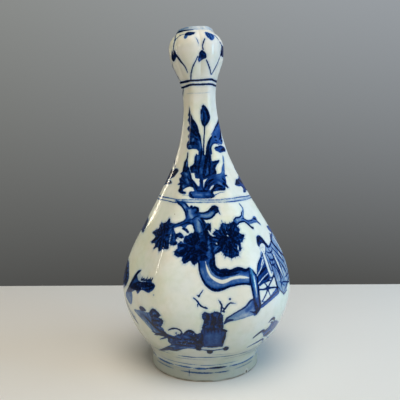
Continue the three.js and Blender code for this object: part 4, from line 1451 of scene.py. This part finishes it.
def garden_rocks():
    body = [
        (-28, 38.5), (-27.5, 42), (-26, 45), (-23, 45), (-20.5, 46.5), (-18.5, 48.5), (-16.8, 49.5),
        (-15, 48.6), (-14, 50.6), (-11.5, 52.2), (-9, 51.2), (-7, 48.8), (-5, 49.8), (-3.6, 50.5),
        (-3.4, 36), (-8, 34.6), (-12, 36.3), (-17, 36.4), (-22, 37.2), (-26, 37),
    ]
    pool(body, 0.82)
    strokes(
        ([(-25.4, 50.4), (-24, 51.6), (-21.5, 52.8), (-19, 52.6), (-17, 51.2), (-16.6, 48.6), (-18.5, 47)],
         [0.6, 1.2, 1.5, 1.3, 1.3, 1.2, 0.8]),
        ([(-19.8, 46.8), (-20.6, 48.6), (-19.4, 50)], 0.8),
        ([(-15.6, 47.6), (-13.8, 50.2), (-11.5, 51.5), (-9.3, 50.4), (-7.4, 47.4)],
         [0.9, 1.6, 2.2, 2.2, 1.4]),
        ([(-27, 39.5), (-26.6, 42.6), (-24.5, 44.4), (-22.8, 42.6), (-23.8, 40.4)], 1.3),
        ([(-21.5, 46), (-20, 43.4), (-17.6, 43.2), (-16.6, 45.6)], 1.2),
        ([(-17, 41.5), (-14, 43.6), (-11, 43.5), (-8, 46.4)], 1.8),
        ([(-12, 47.4), (-9, 45.4), (-5.6, 46.4)], 2.4),
        ([(-20, 39.4), (-15, 40.6), (-10, 40), (-4.5, 41.6)], 2.4),
        ([(-9.6, 43.4), (-6.5, 42), (-4.4, 38.6)], 3.6),
        ([(-8.6, 38.4), (-5, 37.2), (-4.2, 45)], 3),
    )
    tints([[(-20.6, 45), (-18.6, 45)], [(-15, 46.4), (-13, 45.4)], [(-24.8, 41), (-24.6, 42.6)],
           [(-18, 41), (-16, 42)], [(-13, 41.6), (-11, 41.8)]], 1.8, 0.5)
    scrape([(-19.2, 49.6), (-18.2, 48.4)], 1.5)
    stipple(body, 34, 15)
    ground = [
        (-46, 23.4), (-41, 26.4), (-36, 29.6), (-31, 33), (-27.5, 35.5), (-23, 38.2), (-15, 38.2),
        (-8, 37.4), (-3.6, 36.4), (-5, 34.2), (-9, 34.4), (-14, 34.6), (-18.4, 33), (-22, 31), (-26, 29.5),
        (-30, 29.2), (-36, 26.9), (-42, 24.3),
    ]
    pool(ground, 0.78)
    stroke([(-45, 23.9), (-38, 27.6), (-31, 31.4), (-26, 33)], [0.4, 1.2, 2.2, 2.6], 0.62)
    stroke([(-28, 30.4), (-24.4, 30.6), (-21, 32.6)], [1, 2.2, 1], 0.9)
    stroke([(-26, 37), (-20, 37.4), (-14, 37), (-8, 36.4)], 1.4, 0.86)
    tint([(-20, 34.4), (-15, 35.4), (-10, 35.6)], 1.8, 0.42)
    tint([(-28, 34), (-24, 35)], 1.6, 0.45)


def planter():
    """A clipped plant in a square pot on a low stand, with bare twigs behind it."""
    block = [
        (-3.3, 65.2), (-1.6, 67.2), (0.6, 66), (2.4, 66), (4.2, 67.3), (6.2, 67.2), (8, 66.2), (9.4, 64.2),
        (9.6, 60), (9.5, 53), (3, 52), (-3, 53), (-3.2, 56), (-2.4, 58.5), (-2.2, 60.4), (-3.2, 62),
    ]
    pool(block, 0.9)
    strokes(
        ([(-1.4, 65.5), (0.5, 62.5), (-0.5, 59.5), (0, 55.5)], 3.2),
        ([(3, 65), (4.5, 61), (3, 57), (3.6, 54)], 3.4),
        ([(7.4, 65), (7.4, 60), (7.6, 54.5)], 3.2),
        ([(-2, 54), (3, 53), (8.6, 54)], 1.8),
        tone=0.99,
    )
    bristles((3, 59.5), block, 0.5, 7)
    veins([[(1.4, 64), (1.6, 61)], [(5.8, 63), (5.6, 59)], [(1.4, 57.6), (1.8, 56)]], 0.66, 0.3, 1.1)
    pot = [
        (-3.9, 52.6), (3, 53), (10.8, 52.6), (11.9, 51), (11.6, 46), (10.6, 42), (11, 38), (10.4, 36.8),
        (3, 36.4), (-2.6, 36.9), (-3.4, 39), (-3, 43), (-3.6, 48),
    ]
    pool(pot, 0.8)
    tint([(1, 47.5), (1.5, 43), (2, 40)], 6, 0.66)
    tint([(6.5, 47), (6.8, 41)], 4.5, 0.68)
    for turn in (-2, 0.2, 2.4, 4.6, 6.8, 9):
        stroke([(turn, 52.5), (turn + 0.1, 50.4), (turn + 0.05, 48.9)], [1.2, 0.7, 0.3], 0.78)
    strokes(
        ([(-3.7, 51.5), (-3.4, 46), (-3, 41), (-3, 37.4)], 1.1, 0.92),
        ([(11.5, 51.2), (11.3, 46), (10.5, 42), (10.6, 38)], 1.8, 0.94),
        ([(9.6, 52.6), (11.8, 51)], 2),
        ([(-3, 37.1), (3, 36.9), (10.6, 37.3)], 1.3, 0.97),
        ([(-4, 33.9), (0, 33.2), (4, 33), (9, 33.8), (13, 34.6)], 0.9, 0.9),
    )
    pool([(-6, 37), (-3, 36.4), (4, 35.9), (11, 36.5), (14, 37), (14, 33), (9, 33), (3, 32.5), (-4, 33.3)],
         0.16)
    scrape([(-3.6, 35.1), (2, 34.7), (8, 35), (12.4, 35.9)], [0.8, 1.5, 1.5, 0.7])
    pool([(-8.8, 35.4), (-6.8, 36.6), (-4.4, 35.6), (-4.2, 33.4), (-6, 32.8), (-8, 33.4)], 0.97, "ink")
    pool([(-0.4, 32.8), (1.4, 33.2), (4, 32.6), (4.2, 30.6), (2.2, 29), (0.2, 30)], 0.98, "ink")
    pool([(11.2, 34.8), (12.4, 36.4), (14.8, 36), (15.6, 34.2), (14, 32), (11.8, 32.6)], 0.97, "ink")
    strokes(
        ([(-8.8, 77.6), (-7, 76), (-5.6, 74), (-4, 71.6), (-2.6, 70.6), (0, 69.4)], 1.2),
        ([(-5.6, 74), (-6.1, 72.4), (-6, 71)], 1),
        ([(-6.6, 79.6), (-5.3, 78.6), (-4.6, 80.4)], 1.3),
        ([(-5, 79.6), (-3.8, 81.4), (-2.8, 83.2)], 0.8),
        ([(-1.6, 70.2), (-0.4, 69.8)], 1.3),
        ([(7, 75.8), (8, 74.2), (8.8, 72.2), (8.6, 69.4), (8.2, 65.6)], 1.3),
        ([(9, 67), (11, 69.6), (12, 71.4), (13, 73)], 1.3),
        ([(12.4, 72), (14, 73.6), (17.2, 73)], 1),
        ([(8.8, 70.6), (10, 69.4), (11, 69.2)], 1),
        tone=0.95,
        ends=0.55,
    )
    for place in ((14, 76.4), (10.2, 67), (-1.4, 70.4)):
        dab(place, 1.6, 0.88)
    dab((-34.6, 77.4), 1.2, 0.4)


def right_cloud():
    """A curling rock or cloud low on the right side, in a thin wash, with two long grass lines."""
    wash = [
        (42.5, 41.8), (46, 44.6), (49, 48.2), (53, 49.4), (58, 47.8), (64, 45), (68, 42), (62, 39.4),
        (56, 37), (51, 36.4), (46, 37.6),
    ]
    pool(wash, 0.6)
    tint([(50, 45), (56, 44), (60, 42.6)], 4, 0.66)
    strokes(
        ([(33, 40.8), (35, 42.6), (37.4, 44.2), (40, 45), (42.6, 44.4), (44, 42.6)],
         [1.02, 2.04, 2.21, 2.72, 2.04, 1.02], 0.9),
        ([(41, 42.6), (44.5, 43.6), (47.5, 45.6)], 2.38, 0.85),
        ([(45.4, 51), (48, 52.5), (51, 52.4), (53.6, 50.6), (53.4, 48.6)], [1.19, 2.21, 2.55, 2.04, 1.02],
         0.88),
        ([(48, 50), (50, 49.4), (52, 47.6)], 2.04, 0.8),
        ([(45, 38), (50, 39.4), (55, 39)], 2.72, 0.8),
        ([(31, 31.8), (36, 33.6), (41, 34.6), (45, 35.2), (48, 33.4)], [0.68, 1.53, 2.04, 2.21, 1.36], 0.75),
        ([(46, 34), (50, 30.2), (56, 26.6), (62, 24), (68, 22), (75, 20.6)], 0.85, 0.85),
        ([(49, 37), (54, 33.6), (60, 31), (66, 29)], 0.77, 0.65),
    )


def front_scene():
    hill()
    tree()
    fence()
    figure()
    shrub()
    garden_rocks()
    planter()
    right_cloud()
    left_ledge()


front_scene()
print("front scene painted")

# %% [markdown]
# The photograph shows only half of the vase, so the back is a guess: the same garden again, nearly half a
# turn further round. A rock, a spray of leaves and a stone fill the gaps where the two gardens meet.

# %% The back of the belly
BACK_TURN = 177
repeated(front_scene, BACK_TURN)
edge_patches()
print("back painted")

# %% [markdown]
# The painted numbers go onto the points of each skin as attributes. The floor disc and the insides have
# none, so they read as bare glaze.

# %% Painting put on the skins
def put_attribute(mesh, name, values, blank):
    """Values for the first points of a mesh, and the blank one for all the others."""
    filled = np.full(len(mesh.vertices), blank, np.float32)
    filled[: values.size] = values.ravel()
    mesh.attributes.new(name, "FLOAT", "POINT").data.foreach_set("value", filled)


for name, piece in pieces.items():
    sheet = canvas.get(name, {})
    for layer in LAYERS:
        for number, low, high, blank in (("_edge", -FAR, FAR, FAR), ("_tone", 0, 1, PLAIN_TONE)):
            values = sheet.get(layer + number, np.zeros(0))
            put_attribute(piece.data, layer + number, np.clip(values, low, high), blank)
for name, sheet in canvas.items():
    covered = np.minimum(sheet["wash_edge"], sheet["ink_edge"]) < 0
    print(name, "under paint:", round(float(covered.mean()), 2))

# %% [markdown]
# Small helpers for node trees. A group is a tree with named sockets of its own, so two materials can
# share one effect.

# %% Node helpers
FIRST_COLOUR = 6
SECOND_COLOUR = 7
MIXED_COLOUR = 2


def sockets(tree, inputs, outputs):
    for label, kind, value in inputs:
        socket = tree.interface.new_socket(label, in_out="INPUT", socket_type=kind)
        socket.default_value = value
    for label, kind in outputs:
        tree.interface.new_socket(label, in_out="OUTPUT", socket_type=kind)
    return tree.nodes.new("NodeGroupInput"), tree.nodes.new("NodeGroupOutput")


def dial(node, settings):
    """Plain values for some sockets of a node, by their labels."""
    for label, value in settings.items():
        node.inputs[label].default_value = value


def linked(tree, value, socket):
    """A socket gets a link, or a plain value."""
    if isinstance(value, bpy.types.NodeSocket):
        tree.links.new(value, socket)
    else:
        socket.default_value = value


def maths(tree, operation, *values):
    node = tree.nodes.new("ShaderNodeMath")
    node.operation = operation
    for k, value in enumerate(values):
        linked(tree, value, node.inputs[k])
    return node.outputs[0]


def ranged(tree, value, low, high, start=0.0, end=1.0, kind="SMOOTHSTEP"):
    node = tree.nodes.new("ShaderNodeMapRange")
    node.interpolation_type = kind
    linked(tree, value, node.inputs["Value"])
    dial(node, {"From Min": low, "From Max": high, "To Min": start, "To Max": end})
    return node.outputs["Result"]


def noise(tree, place, scale, detail=2.0, roughness=0.5):
    """Cloudy noise from 0 to 1, whose scale counts the clouds in a metre."""
    node = tree.nodes.new("ShaderNodeTexNoise")
    tree.links.new(place, node.inputs["Vector"])
    dial(node, {"Scale": scale, "Detail": detail, "Roughness": roughness})
    return node.outputs["Fac"]


def mixed(tree, share, first, second, blend="MIX"):
    """Two colours mixed, where a share of 1 gives the second one."""
    node = tree.nodes.new("ShaderNodeMix")
    node.data_type = "RGBA"
    node.blend_type = blend
    linked(tree, share, node.inputs["Factor"])
    linked(tree, first, node.inputs[FIRST_COLOUR])
    linked(tree, second, node.inputs[SECOND_COLOUR])
    return node.outputs[MIXED_COLOUR]


def place_on(tree):
    return tree.nodes.new("ShaderNodeTexCoord").outputs["Object"]


def tinted(tree, share, colour, filter_colour):
    """A colour seen through a coloured filter, by a share."""
    through = mixed(tree, 1.0, colour, filter_colour, "MULTIPLY")
    return mixed(tree, share, colour, through)


def split_place(tree):
    """The three numbers of a place on the vase, in metres."""
    split = tree.nodes.new("ShaderNodeSeparateXYZ")
    tree.links.new(place_on(tree), split.inputs[0])
    return split.outputs


def painted_value(tree, name):
    node = tree.nodes.new("ShaderNodeAttribute")
    node.attribute_name = name
    return node.outputs["Fac"]


print("node helpers ready")

# %% [markdown]
# Cobalt under a glaze. Where the pigment is thin it is a clear pale blue, and where it is thick it turns
# almost black. It bleeds a little into the glaze, so an edge wanders by a fraction of a millimetre and
# has a faint halo, and it gathers in darker grains. All of that hangs on one number, the amount of
# pigment, which a colour ramp turns into the share of light that the painting lets through.

# %% The painting as a node group
COBALT_RAMP = (
    (0.00, (1.00, 1.00, 1.00)),
    (0.15, (0.60, 0.70, 0.86)),
    (0.35, (0.20, 0.34, 0.66)),
    (0.55, (0.038, 0.135, 0.470)),
    (0.75, (0.006, 0.054, 0.300)),
    (0.90, (0.001, 0.015, 0.110)),
    (1.00, (0.0003, 0.004, 0.030)),
)
EDGE_WANDER = 0.9
TONE_DRIFT = 0.22
RIM_DEPTH = 0.07
RIM_WIDTH = (-1.3, -0.2)
HALO_DEPTH = 0.07
HALO_REACH = 2.4
FLECK_DEPTH = 0.17
# Each layer is its name, how soft its edge is in millimetres, and how grainy its pigment is.
LAYER_LOOKS = (("wash", 0.42, 0.42), ("ink", 0.34, 0.3))


def centred_noise(tree, place, scale, detail, roughness=0.5):
    return maths(tree, "SUBTRACT", noise(tree, place, scale, detail, roughness), 0.5)


def cobalt_group():
    tree = bpy.data.node_groups.new("cobalt painting", "ShaderNodeTree")
    _, end = sockets(tree, [], [("Through", "NodeSocketColor"), ("Amount", "NodeSocketFloat")])
    place = place_on(tree)
    wander = centred_noise(tree, place, 700, 3.0, 0.6)
    grain = centred_noise(tree, place, 330, 4.0, 0.65)
    drift = centred_noise(tree, place, 90, 2.0)
    unpainted = 1.0
    for layer, soft, grainy in LAYER_LOOKS:
        edge = maths(tree, "MULTIPLY_ADD", wander, EDGE_WANDER, painted_value(tree, layer + "_edge"))
        mask = ranged(tree, edge, soft, -soft)
        tone = maths(tree, "MULTIPLY_ADD", grain, grainy, painted_value(tree, layer + "_tone"))
        tone = maths(tree, "MULTIPLY_ADD", drift, TONE_DRIFT, tone)
        tone = maths(tree, "ADD", tone, ranged(tree, edge, *RIM_WIDTH, 0.0, RIM_DEPTH))
        covered = maths(tree, "MULTIPLY", mask, tone)
        halo = maths(tree, "MULTIPLY", ranged(tree, edge, HALO_REACH, 0.0, 0.0, HALO_DEPTH), tone)
        covered = maths(tree, "MAXIMUM", covered, halo)
        covered.node.use_clamp = True
        unpainted = maths(tree, "MULTIPLY", maths(tree, "SUBTRACT", 1.0, covered), unpainted)
    fleck = ranged(tree, noise(tree, place, 520, 3.0, 0.7), 0.48, 0.72, 0.0, FLECK_DEPTH)
    paint = maths(tree, "SUBTRACT", 1.0, unpainted)
    amount = maths(tree, "MULTIPLY_ADD", fleck, maths(tree, "SUBTRACT", unpainted, 1.0), paint)
    ramp = tree.nodes.new("ShaderNodeValToRGB")
    stops = ramp.color_ramp.elements
    for position, colour in COBALT_RAMP[1:-1]:
        stops.new(position).color = (*colour, 1)
    stops[0].color = (*COBALT_RAMP[0][1], 1)
    stops[len(COBALT_RAMP) - 1].color = (*COBALT_RAMP[-1][1], 1)
    tree.links.new(amount, ramp.inputs["Fac"])
    tree.links.new(ramp.outputs["Color"], end.inputs["Through"])
    tree.links.new(amount, end.inputs["Amount"])
    return tree


cobalt = cobalt_group()
print("cobalt ramp stops:", len(COBALT_RAMP))

# %% [markdown]
# The glaze itself is a warm greyish white, pinkish on the thin neck. Low on the wall it turns a much deeper
# grey: partly where the glaze pools, and partly painted shade under the widest part of the belly. It is
# clouded, has a few iron specks, and its surface is faintly uneven, like the peel of an orange.

# %% The glaze as a node group
# Heights in metres over which the wall turns darker downward: partly glaze that pools, partly painted shade
# under the belly.
POOL_AND_SHADE_HEIGHTS = (0.075, 0.015)
BLUSH_HEIGHTS = (0.15, 0.23)
BLUSH = (1.0, 0.955, 0.94, 1)
# Each cloud is how many there are in a metre, and the colour that the glaze takes on in it.
CLOUDS = (
    (34, (1.0, 0.935, 0.87, 1)),
    (27, (0.91, 0.97, 0.84, 1)),
    (55, (0.97, 0.98, 1.03, 1)),
    (170, (0.93, 0.94, 0.91, 1)),
)
SPECK_CELLS = 120
PLAIN_CELLS = 0.91
SPECK_SIZE = (0.075, 0.02)
SPECK_COLOUR = (0.24, 0.20, 0.13, 1)
UNEVEN_GLOSS = 0.09


def glaze_group():
    tree = bpy.data.node_groups.new("porcelain glaze", "ShaderNodeTree")
    start, end = sockets(
        tree,
        [
            ("Clay", "NodeSocketColor", (0.7, 0.7, 0.6, 1)),
            ("Pooled_and_shade", "NodeSocketColor", (0.5, 0.6, 0.5, 1)),
            ("Gloss", "NodeSocketFloat", 0.1),
        ],
        [("Colour", "NodeSocketColor"), ("Roughness", "NodeSocketFloat"), ("Height", "NodeSocketFloat")],
    )
    place = place_on(tree)
    height = split_place(tree)["Z"]
    # The second colour comes in low on the wall: partly glaze that pools there, partly painted shade under
    # the widest part.
    patchy = ranged(tree, noise(tree, place, 22, 3.0, 0.55), 0.2, 0.7, 0.5, 1.0)
    pooled_shade_share = maths(tree, "MULTIPLY", ranged(tree, height, *POOL_AND_SHADE_HEIGHTS), patchy)
    colour = mixed(tree, pooled_shade_share, start.outputs["Clay"], start.outputs["Pooled_and_shade"])
    colour = tinted(tree, ranged(tree, height, *BLUSH_HEIGHTS), colour, BLUSH)
    for scale, cloud_colour in CLOUDS:
        cloud = ranged(tree, noise(tree, place, scale, 3.0, 0.6), 0.42, 0.68, 0.0, 0.75)
        colour = tinted(tree, cloud, colour, cloud_colour)
    cells = tree.nodes.new("ShaderNodeTexVoronoi")
    dial(cells, {"Scale": SPECK_CELLS})
    tree.links.new(place, cells.inputs["Vector"])
    pick = tree.nodes.new("ShaderNodeSeparateColor")
    tree.links.new(cells.outputs["Color"], pick.inputs[0])
    chosen = maths(tree, "GREATER_THAN", pick.outputs[0], PLAIN_CELLS)
    speck = maths(tree, "MULTIPLY", ranged(tree, cells.outputs["Distance"], *SPECK_SIZE), chosen)
    colour = mixed(tree, speck, colour, SPECK_COLOUR)
    gloss = start.outputs["Gloss"]
    rough = maths(tree, "MULTIPLY_ADD", noise(tree, place, 60, 3.0, 0.6), UNEVEN_GLOSS, gloss)
    peel = noise(tree, place, 150)
    slow = noise(tree, place, 45, 1.0)
    bumps = maths(tree, "MULTIPLY_ADD", peel, 0.25, slow)
    bumps = maths(tree, "MULTIPLY_ADD", speck, -0.2, bumps)
    tree.links.new(colour, end.inputs["Colour"])
    tree.links.new(rough, end.inputs["Roughness"])
    tree.links.new(bumps, end.inputs["Height"])
    return tree


glaze = glaze_group()
print("clouds in the glaze:", len(CLOUDS))

# %% [markdown]
# Two finishes use the groups. The painted glaze covers the body. The foot has the same glaze, painted much
# darker as painted shade under the overhang of the belly, and the land that stands in the kiln sand was
# wiped bare: there the clay is rough and sandy, with a burnt brown line where the glaze stops. A chip on
# the rim of the foot is a pale flake round a small dark notch.

# %% The two finishes
RIPPLE_DEPTH = 0.0004
RIPPLE_STRENGTH = 0.5
GLAZE_IOR = 1.52
GLAZE_SPECULAR = 0.32


def finish(name):
    material = bpy.data.materials.new(name)
    material.use_nodes = True
    tree = material.node_tree
    shader = tree.nodes["Principled BSDF"]
    painting = tree.nodes.new("ShaderNodeGroup")
    painting.node_tree = cobalt
    body = tree.nodes.new("ShaderNodeGroup")
    body.node_tree = glaze
    bump = tree.nodes.new("ShaderNodeBump")
    dial(bump, {"Distance": RIPPLE_DEPTH, "Strength": RIPPLE_STRENGTH})
    tree.links.new(body.outputs["Height"], bump.inputs["Height"])
    tree.links.new(bump.outputs["Normal"], shader.inputs["Normal"])
    colour = mixed(tree, 1.0, body.outputs["Colour"], painting.outputs["Through"], "MULTIPLY")
    dial(shader, {"IOR": GLAZE_IOR, "Specular IOR Level": GLAZE_SPECULAR})
    return material, tree, shader, body, colour


def painted_glaze():
    material, tree, shader, body, colour = finish("painted_glaze")
    # The darker second colour low on the wall is partly glaze that pools there and partly painted shade.
    dial(body, {"Clay": (0.75, 0.76, 0.68, 1), "Pooled_and_shade": (0.47, 0.50, 0.46, 1), "Gloss": 0.06})
    tree.links.new(colour, shader.inputs["Base Color"])
    tree.links.new(body.outputs["Roughness"], shader.inputs["Roughness"])
    return material


# Heights in metres, between which the glaze gives way to the burnt line, and that to the bare clay.
BURNT_HEIGHTS = (0.0032, 0.0014)
BARE_HEIGHTS = (0.0016, 0.0012)
RAGGED = 0.0016
BURNT_COLOUR = (0.13, 0.095, 0.06, 1)
SANDY_CLAY = ((0.42, 0.33, 0.24, 1), (0.62, 0.54, 0.43, 1))
SANDY_ROUGHNESS = (0.85, 0.85, 0.85, 1)
CHIP = (0.0335, -0.0327, 0.0022)
CHIP_RAGGED = 0.0022
CHIP_FLAKE = (0.0041, 0.0032)
CHIP_NOTCH = (0.0026, 0.0018)
FLAKE_COLOUR = (0.47, 0.45, 0.38, 1)
NOTCH_COLOUR = (0.10, 0.085, 0.06, 1)


def foot_glaze():
    material, tree, shader, body, colour = finish("foot_glaze")
    # The foot's glaze colours are much darker than the body's: painted shade for the shadow under the belly.
    dial(body, {"Clay": (0.42, 0.43, 0.375, 1), "Pooled_and_shade": (0.38, 0.40, 0.35, 1), "Gloss": 0.08})
    place = place_on(tree)
    height = split_place(tree)["Z"]
    sand = noise(tree, place, 420, 4.0, 0.65)
    ragged = maths(tree, "MULTIPLY_ADD", noise(tree, place, 160, 3.0), RAGGED, height)
    wiped = ranged(tree, ragged, *BARE_HEIGHTS)
    fired = ranged(tree, noise(tree, place, 70), 0.4, 0.6, 0.25, 0.9)
    burnt = maths(tree, "MULTIPLY", ranged(tree, ragged, *BURNT_HEIGHTS), fired)
    colour = mixed(tree, burnt, colour, BURNT_COLOUR)
    colour = mixed(tree, wiped, colour, mixed(tree, sand, *SANDY_CLAY))
    apart = tree.nodes.new("ShaderNodeVectorMath")
    apart.operation = "DISTANCE"
    tree.links.new(place, apart.inputs[0])
    apart.inputs[1].default_value = CHIP
    away = maths(tree, "MULTIPLY_ADD", noise(tree, place, 500, 3.0), CHIP_RAGGED, apart.outputs["Value"])
    colour = mixed(tree, ranged(tree, away, *CHIP_FLAKE), colour, FLAKE_COLOUR)
    colour = mixed(tree, ranged(tree, away, *CHIP_NOTCH), colour, NOTCH_COLOUR)
    rough = mixed(tree, wiped, body.outputs["Roughness"], SANDY_ROUGHNESS)
    tree.links.new(colour, shader.inputs["Base Color"])
    tree.links.new(rough, shader.inputs["Roughness"])
    return material


finishes = {"painted_glaze": painted_glaze(), "foot_glaze": foot_glaze()}
print("finishes:", list(finishes))

# %% [markdown]
# Every piece rides on the one body of the vase and stands for its section of the construction.

# %% Pieces put on their body
for part in frame["record"]["subparts"]:
    piece = pieces[part["node"]]
    piece.data.materials.append(finishes[part["material_slot"]])
    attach(piece, "root")
    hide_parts(part["node"])
print("placed:", sorted(pieces))

# %% [markdown]
# The stage is a pale plain table and a plain grey room. The room's colour is given to the rays that look
# at it and to reflections, and the light that it sheds is set apart from it.

# %% Table and room
TABLE_BACK = 0.237
TABLE_HALF = 0.9
TABLE_COLOUR = (0.75, 0.73, 0.68, 1)
WALL_FOOT = (0.074, 0.074, 0.070, 1)
WALL_LEFT = (0.30, 0.31, 0.30, 1)
WALL_RIGHT = (0.38, 0.41, 0.44, 1)
DARK_ROOM = (0.035, 0.036, 0.038, 1)
SHED_LIGHT = (0.09, 0.09, 0.09, 1)
# Parts of a direction out into the room, between which its colour changes.
WALL_RISE = (-0.276, 0.40)
WALL_WIDTH = (-0.36, 0.36)
WALL_TOP = (0.32, 0.50)
WALL_ENDS = (0.85, 0.50)


def table():
    mesh = bpy.data.meshes.new("table")
    ends = (-TABLE_HALF, TABLE_HALF)
    corners = [(x, -TABLE_HALF, 0) for x in ends] + [(x, TABLE_BACK, 0) for x in reversed(ends)]
    mesh.from_pydata(corners, [], [(0, 1, 2, 3)])
    material = bpy.data.materials.new("table")
    material.use_nodes = True
    shader = material.node_tree.nodes["Principled BSDF"]
    dial(shader, {"Base Color": TABLE_COLOUR, "Roughness": 0.9, "Specular IOR Level": 0.1})
    mesh.materials.append(material)
    put_in_scene("table", mesh)


def room():
    world = bpy.data.worlds.new("room")
    bpy.context.scene.world = world
    world.use_nodes = True
    tree = world.node_tree
    background = tree.nodes["Background"]
    split = tree.nodes.new("ShaderNodeSeparateXYZ")
    tree.links.new(tree.nodes.new("ShaderNodeTexCoord").outputs["Generated"], split.inputs[0])
    rise = ranged(tree, split.outputs["Z"], *WALL_RISE, kind="LINEAR")
    side = ranged(tree, split.outputs["X"], *WALL_WIDTH, kind="LINEAR")
    wall = mixed(tree, rise, WALL_FOOT, mixed(tree, side, WALL_LEFT, WALL_RIGHT))
    wall = mixed(tree, ranged(tree, split.outputs["Z"], *WALL_TOP), wall, DARK_ROOM)
    wall = mixed(tree, ranged(tree, split.outputs["Y"], *WALL_ENDS), wall, DARK_ROOM)
    path = tree.nodes.new("ShaderNodeLightPath")
    seen = maths(tree, "MAXIMUM", path.outputs["Is Camera Ray"], path.outputs["Is Glossy Ray"])
    seen = maths(tree, "MAXIMUM", seen, path.outputs["Is Transmission Ray"])
    tree.links.new(mixed(tree, seen, SHED_LIGHT, wall), background.inputs["Color"])
    dial(background, {"Strength": 1.0})


def softbox(name, place, target, width, height, radiance, reflected=True):
    """An area light whose colour is the light that it sends out of each bit of its face."""
    lamp = bpy.data.lights.new(name, "AREA")
    lamp.shape = "RECTANGLE"
    lamp.size = width
    lamp.size_y = height
    lamp.energy = max(radiance) * math.pi * width * height
    lamp.color = [part / max(radiance) for part in radiance]
    stand = put_in_scene(name, lamp)
    stand.location = place
    stand.rotation_euler = (Vector(target) - Vector(place)).to_track_quat("-Z", "Y").to_euler()
    stand.visible_camera = False
    stand.visible_glossy = reflected


table()
room()
softbox("window_right", (1.0, -0.10, 0.42), (0, 0, 0.15), 0.7, 0.9, (1.6, 2.25, 3.3), False)
softbox("sky_right", (0.82, 0.665, 0.47), (0, 0, 0.15), 0.28, 0.30, (0.8, 2.2, 3.3), False)
softbox("lamp_overhead", (0.0, -0.40, 1.15), (0, 0, 0), 0.9, 0.9, (4.3, 4.0, 3.55), False)
softbox("fill_right", (0.75, -0.75, 0.5), (0, 0, 0.12), 0.4, 0.5, (2.8, 2.55, 2.4), False)
softbox("fill_left", (-0.7, -0.9, 0.16), (0, 0, 0.12), 0.5, 0.4, (2.1, 2.2, 2.0), False)
softbox("glare_right", (0.96, -0.43, 0.35), (0, 0, 0.1), 0.19, 0.35, (1.6, 6.5, 10))
softbox("glint_left", (-0.89, 0.75, 0.43), (0, 0, 0.15), 0.022, 0.16, (24, 21, 16))
softbox("glint_side", (-1.06, 0.09, 0.41), (0, 0, 0.13), 0.045, 0.24, (18, 17, 15))
bpy.context.scene.view_settings.view_transform = "Standard"
print("stage ready")
